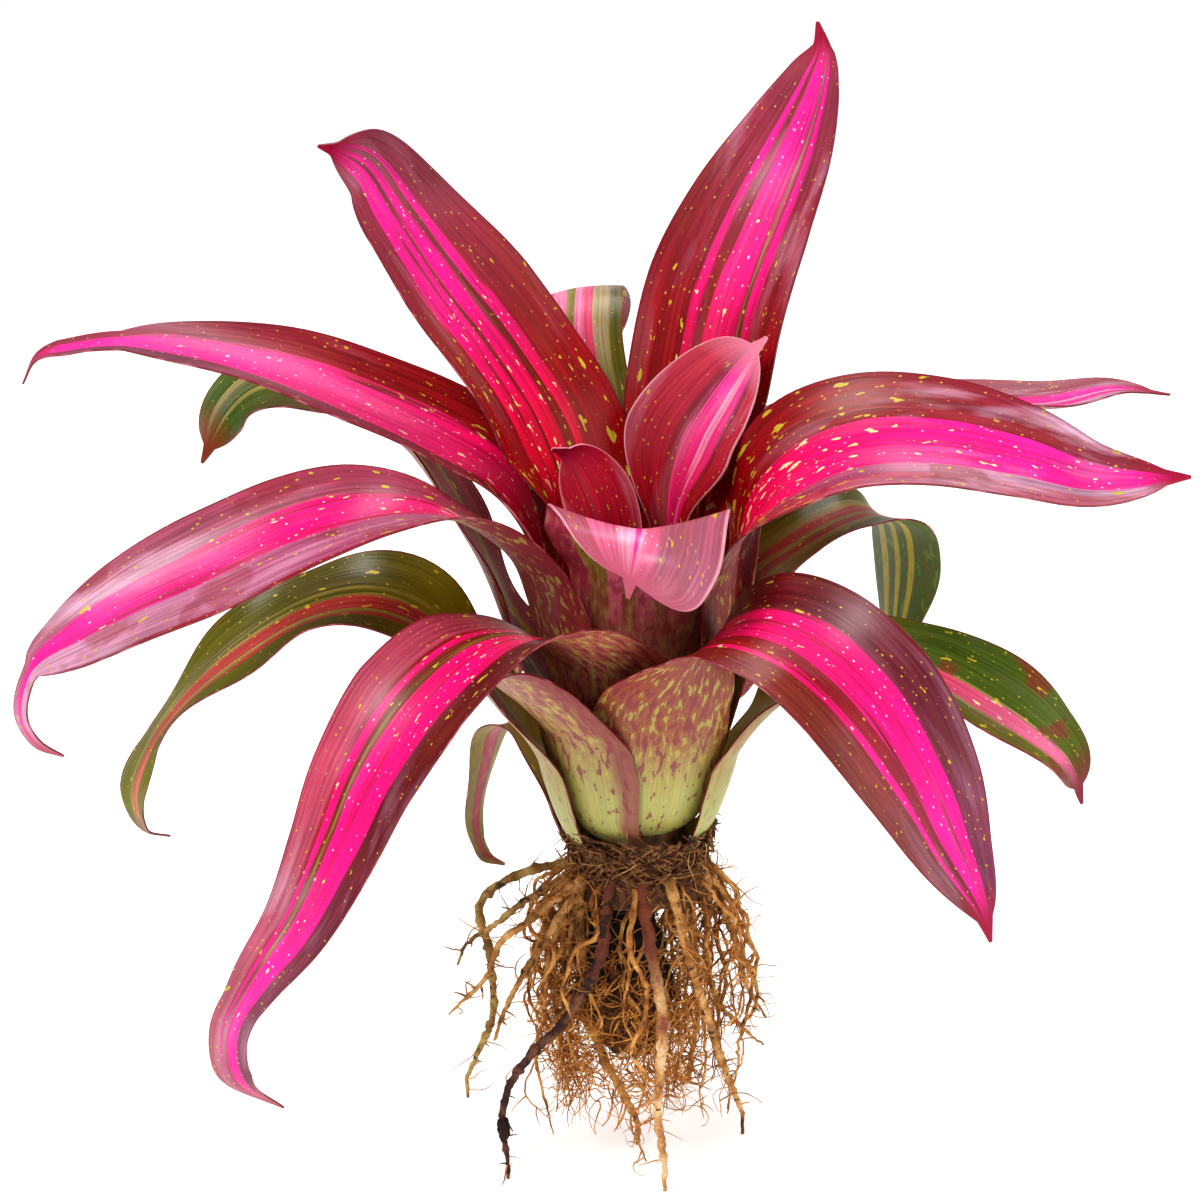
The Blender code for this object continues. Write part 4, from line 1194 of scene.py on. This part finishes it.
@dataclass
class RootBall:
    """Main roots, side roots, fibres and the soil they hold.

    Every main root passes the neck and the shoulder: each is a distance from the axis and a height.
    """

    seed: int = 11
    step: float = 1.6
    side_step: float = 2.2
    neck: tuple = (19.0, 127.0)
    shoulder: tuple = (26.5, 118.0)
    crown: float = 124.0
    side_roots: int = 100
    side_turn: float = 137.5
    fibres: int = 1300
    net: int = 1100
    stubs: int = 150

    def knobby(self, points: np.ndarray, start: float, end: float, draw: random.Random,
               finish: int = 0) -> Strand:
        """Make a root uneven, with swollen joints.

        Args:
            points: Even points of its route.
            start: Radius at the crown.
            end: Radius at the tip.
            draw: Source of random numbers.
            finish: Its place in the list of finishes.

        Returns:
            The strand.
        """
        count = len(points)
        share = np.linspace(0.0, 1.0, count)
        radii = (start + (end - start) * share) * (1.0 - 0.5 * share ** 8)
        joint = np.zeros(count)
        place = draw.uniform(2.0, 5.0)
        while place < count:
            joint += draw.uniform(0.12, 0.5) * np.exp(-((np.arange(count) - place) / 0.9) ** 2)
            place += draw.uniform(3.0, 9.0)
        radii = radii * (0.86 + joint + 0.07 * np.array([draw.uniform(-1.0, 1.0) for _ in range(count)]))
        wobble = np.array([scattered(draw, 0.2) for _ in range(count)])
        wobble[-1] = 0.0
        return Strand(points + wobble, radii, finish)

    def main_roots(self, draw: random.Random) -> list[Strand]:
        """Shape the main roots on the routes of the solid model.

        Args:
            draw: Source of random numbers.

        Returns:
            The strands.
        """
        strands = []
        for root in ROOTS:
            away = unit(np.array((*root.route[1][:2], 0.0), dtype=float))
            points = [away * radius + (0.0, 0.0, height) for radius, height in (self.neck, self.shoulder)]
            points += [np.array(point, dtype=float) for point in root.route[2:]]
            if root.foot:
                points += [np.array((*root.route[-1][:2], height)) for height in (4.0, 0.2)]
            fine = even(spline(points), self.step)[0]
            strands.append(self.knobby(fine, root.start, 0.8 * root.end, draw, root.tint.value))
        return strands

    def thorns(self, draw: random.Random, trunks: list[Strand]) -> list[Strand]:
        """Set short broken side roots on the thick ones.

        Args:
            draw: Source of random numbers.
            trunks: The thick roots.

        Returns:
            The strands.
        """
        strands = []
        for _ in range(self.stubs):
            trunk = trunks[draw.randrange(len(trunks))]
            spot = draw.randrange(8, len(trunk.points) - 3)
            along = unit(trunk.points[spot + 1] - trunk.points[spot])
            off = unit(np.cross(along, scattered(draw, 1.0)))
            length = trunk.radii[spot] + draw.uniform(1.0, 5.0)
            points = np.array([trunk.points[spot] + (off + 0.35 * along * part) * length * part
                               for part in np.linspace(0.0, 1.0, 5)])
            points[:, 2] = np.maximum(points[:, 2], 0.8)
            strands.append(tapering(points, draw.uniform(0.3, 0.7), 0.35, trunk.finish))
        return strands

    def hanging(self, draw: random.Random, azimuth: float, reach: float, lowest: float, spans: int,
                jitter: float) -> np.ndarray:
        """Hang a root from the crown out over the soil.

        Args:
            draw: Source of random numbers.
            azimuth: Direction it springs in, in radians.
            reach: How far out it bends.
            lowest: Height of its end.
            spans: Number of spans.
            jitter: Unevenness of its course in mm.

        Returns:
            Its points.
        """
        points = []
        for index in range(spans + 1):
            share = index / spans
            radius = 20.0 + reach * math.sin(0.74 * math.pi * share ** 0.8)
            azimuth += draw.gauss(0.0, 0.07)
            height = self.crown + (lowest - self.crown) * share ** 1.1
            point = np.array((radius * math.cos(azimuth) - 3.0 * share, radius * math.sin(azimuth), height))
            points.append(point + scattered(draw, jitter) * min(1.0, 3.0 * share))
        return np.array(points)

    def sides(self, draw: random.Random) -> list[Strand]:
        """Hang the side roots round the crown, fewer of them in front.

        Args:
            draw: Source of random numbers.

        Returns:
            The strands.
        """
        strands = []
        for number in range(self.side_roots):
            azimuth = number * math.radians(self.side_turn) + draw.uniform(-0.3, 0.3)
            if math.sin(azimuth) < -0.45 and number % 3:
                continue
            coarse = self.hanging(draw, azimuth, draw.uniform(4.0, 27.0), draw.uniform(8.0, 66.0), 8, 2.8)
            fine = even(spline(list(coarse), 8), self.side_step)[0]
            thick = draw.uniform(0.55, 1.35)
            strands.append(self.knobby(fine, thick, 0.4 * thick, draw))
        return strands

    def threads(self, draw: random.Random, trunks: list[Strand]) -> list[Strand]:
        """Grow fibres from the roots, and a net of them over the soil.

        Args:
            draw: Source of random numbers.
            trunks: Roots that the fibres grow from.

        Returns:
            The strands.
        """
        strands = []
        for _ in range(self.fibres):
            trunk = trunks[draw.randrange(len(trunks))]
            spot = trunk.points[draw.randrange(4, len(trunk.points))]
            inward = np.array((-spot[0] - 4.0, -spot[1], 0.0)) / 40.0
            course = unit(inward * draw.uniform(-0.5, 1.2) + scattered(draw, 0.6))
            points = curl(draw, spot, draw.uniform(5.0, 20.0), course, 0.42)
            strands.append(tapering(points, draw.uniform(0.16, 0.4), 0.4))
        for _ in range(self.net):
            azimuth = draw.uniform(0.0, 2.0 * math.pi)
            height = draw.uniform(26.0, 92.0)
            radius = (17.0 + 8.0 * math.sin(math.pi * (height - 14.0) / 92.0)) * draw.uniform(0.85, 1.2)
            spot = np.array((radius * math.cos(azimuth) - 6.0, radius * math.sin(azimuth), height))
            course = unit(scattered(draw, 1.0) + (0.0, 0.0, -0.5))
            points = curl(draw, spot, draw.uniform(8.0, 22.0), course, 0.45)
            strands.append(tapering(points, draw.uniform(0.18, 0.45), 0.4))
        return strands

    def build(self) -> None:
        """Build the pieces of the root mass and hand them to the frame."""
        draw = random.Random(self.seed)
        main = self.main_roots(draw)
        side = self.sides(draw)
        stubs = self.thorns(draw, main)
        fibres = self.threads(draw, main + side)
        barks = [bark.build(f"root_bark_{tint.name.lower()}") for tint, bark in ROOT_BARKS.items()]
        pale = SIDE_BARK.build("root_bark_side")
        thread = FIBRE_BARK.build("root_fibre")
        hand_in(strand_piece("roots_main", main + stubs, 4, barks), "root_mass")
        hand_in(strand_piece("roots_side", side, 1, [pale]))
        hand_in(strand_piece("roots_fibres", fibres, 0, [thread]))
        core = self.lump("soil_core", (-6.0, -3.0, 75.0), (19.0, 18.0, 34.0),
                         ((22.0, 13.0), (5.0, 6.0), (1.5, 2.0)), FELT)
        hand_in(core)
        clod = self.lump("soil_clod", (-52.5, -31.0, 22.0), (2.6, 2.6, 5.2), ((4.0, 2.0), (1.2, 1.0)), CRUMBS)
        hand_in(clod)

    def lump(self, name: str, place: tuple, size: tuple, reliefs: tuple, soil: Bark) -> bpy.types.Object:
        """Model a lump of soil among the roots.

        Args:
            name: Name of the piece.
            place: Its middle in mm.
            size: Its half sizes in mm.
            reliefs: Size and depth in mm of each relief of its surface.
            soil: What the lump is made of.

        Returns:
            The piece.
        """
        deselect()
        bpy.ops.mesh.primitive_ico_sphere_add(subdivisions=5, radius=MM, location=(0.0, 0.0, 0.0))
        piece = named(name)
        bpy.ops.object.mode_set(mode="EDIT")
        bpy.ops.transform.resize(value=size)
        bpy.ops.transform.translate(value=[part * MM for part in place])
        bpy.ops.object.mode_set(mode="OBJECT")
        for spread, depth in reliefs:
            clouds = bpy.data.textures.new(f"{name}_{spread}", "CLOUDS")
            clouds.noise_scale = spread * MM
            lumps = piece.modifiers.new(f"lumps_{spread}", "DISPLACE")
            lumps.texture = clouds
            lumps.strength = depth * MM
        apply_modifiers(piece)
        bpy.ops.object.shade_smooth()
        piece.data.materials.append(soil.build(name + "_crumbs"))
        return piece


@dataclass
class Foot:
    """The torn brown ring of old leaf bases round the foot of the stem, and the skin of the stem."""

    seed: int = 5
    shreds: int = 900
    low: float = 119.0
    high: float = 139.5
    radius: float = 24.5
    flare: float = 5.5

    def build(self) -> None:
        """Build the torn shreds and dress the two solids that stay."""
        draw = random.Random(self.seed)
        shreds = []
        for number in range(self.shreds):
            azimuth = draw.uniform(0.0, 2.0 * math.pi)
            rise = draw.random()
            height = self.low + (self.high - self.low) * rise
            radius = self.radius + self.flare * rise + draw.uniform(-1.0, 0.8)
            start = ring_point(radius, azimuth, height)
            ring = np.array((-math.sin(azimuth), math.cos(azimuth), 0.0)) * draw.choice((-1.0, 1.0))
            course = unit(ring * draw.uniform(0.4, 1.0) + np.array((0.0, 0.0, draw.uniform(-0.8, 0.4)))
                          - 0.15 * start * np.array((1.0, 1.0, 0.0)) / radius)
            if number % 5 == 0 and rise < 0.8:
                points = curl(draw, start, draw.uniform(8.0, 20.0), course, 0.34)
                shreds.append(tapering(points, draw.uniform(0.18, 0.4), 0.3, 1))
            else:
                points = curl(draw, start, draw.uniform(5.0, 12.0), course, 0.14)
                shreds.append(tapering(points, draw.uniform(0.35, 0.9), 0.3))
        torn = TORN_BARK.build("dry_leaf_base_fibre")
        loose = LOOSE_BARK.build("dry_loose_fibre")
        hand_in(strand_piece("dry_shreds", shreds, 0, [torn, loose]))
        husk = HUSK.build("dry_husk")
        flesh = FLESH.build("stem_flesh_skin")
        for name, finish in (("dry_leaf_bases", husk), ("stem", flesh)):
            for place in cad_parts[name].material_slots:
                place.material = finish
            log.info("%s: dressed", name)


@dataclass
class Studio:
    """Pale floor, soft light and the camera."""

    target: tuple = (-15.0, 0.0, 228.0)
    distance: float = 1500.0
    elevation: float = 18.0
    lens: float = 118.4
    sensor: float = 36.0
    floor_size: float = 14.0
    floor_glow: float = 0.5
    air: float = 0.45
    gamma: float = 0.86

    def build(self) -> None:
        """Build the floor, the lights and the camera."""
        deselect()
        bpy.ops.mesh.primitive_plane_add(size=self.floor_size, location=(0.0, 0.0, 0.0))
        floor = bpy.context.object
        floor.name = "studio_floor"
        # Matt white paint with a faint grain and a little glow: the floor meets the air without an edge.
        paint = Coat("painted_floor")
        here = paint.add("TexCoord").outputs["Object"]
        grain = paint.add("TexNoise", {"Vector": here, "Scale": 300.0, "Detail": 2.0})
        tone = paint.add("ValToRGB", {0: grain}, [(0.3, linear("#efefee")), (0.7, linear("#f4f4f3"))])
        paint.plug(paint.shader, {"Base Color": tone, "Roughness": 0.9, "Emission Color": WHITE,
                                  "Emission Strength": self.floor_glow})
        floor.data.materials.append(paint.material)
        self.light("key_softbox", (-0.9, -1.2, 1.9), 0.9, 40.0)
        self.light("fill_softbox", (1.5, -1.0, 1.0), 1.2, 8.0)
        self.light("top_softbox", (0.3, 0.8, 1.9), 0.9, 16.0)
        world = bpy.data.worlds.new("studio_air")
        world.use_nodes = True
        air = world.node_tree.nodes["Background"]
        air.inputs[0].default_value = WHITE
        air.inputs[1].default_value = self.air
        scene = bpy.context.scene
        scene.world = world
        scene.view_settings.view_transform = "Standard"
        scene.view_settings.gamma = self.gamma
        self.camera()

    def light(self, name: str, place: tuple, size: float, power: float) -> None:
        """Hang a square soft light that faces the plant.

        Args:
            name: Name of the light.
            place: Its place in metres.
            size: Side of the square in metres.
            power: Power in watts.
        """
        bpy.ops.object.light_add(type="AREA", location=place)
        lamp = bpy.context.object
        lamp.name = name
        lamp.data.shape = "SQUARE"
        lamp.data.size = size
        lamp.data.energy = power
        aim = Vector((0.0, 0.0, 0.2)) - Vector(place)
        lamp.rotation_euler = aim.to_track_quat("-Z", "Y").to_euler()

    def camera(self) -> None:
        """Set the camera up at the photograph's viewing angle."""
        tilt = math.radians(self.elevation)
        back = Vector((0.0, -math.cos(tilt), math.sin(tilt))) * self.distance
        place = (Vector(self.target) + back) * MM
        bpy.ops.object.camera_add(location=place, rotation=(math.radians(90.0) - tilt, 0.0, 0.0))
        camera = bpy.context.object
        camera.name = "photo_camera"
        camera.data.lens = self.lens
        camera.data.sensor_width = self.sensor
        bpy.context.scene.camera = camera


def main() -> None:
    """Build everything in order."""
    logging.basicConfig(level=logging.INFO, format="%(message)s")
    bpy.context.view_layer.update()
    Studio().build()
    Rosette().build()
    Foot().build()
    RootBall().build()
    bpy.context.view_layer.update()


if __name__ == "__main__":
    main()
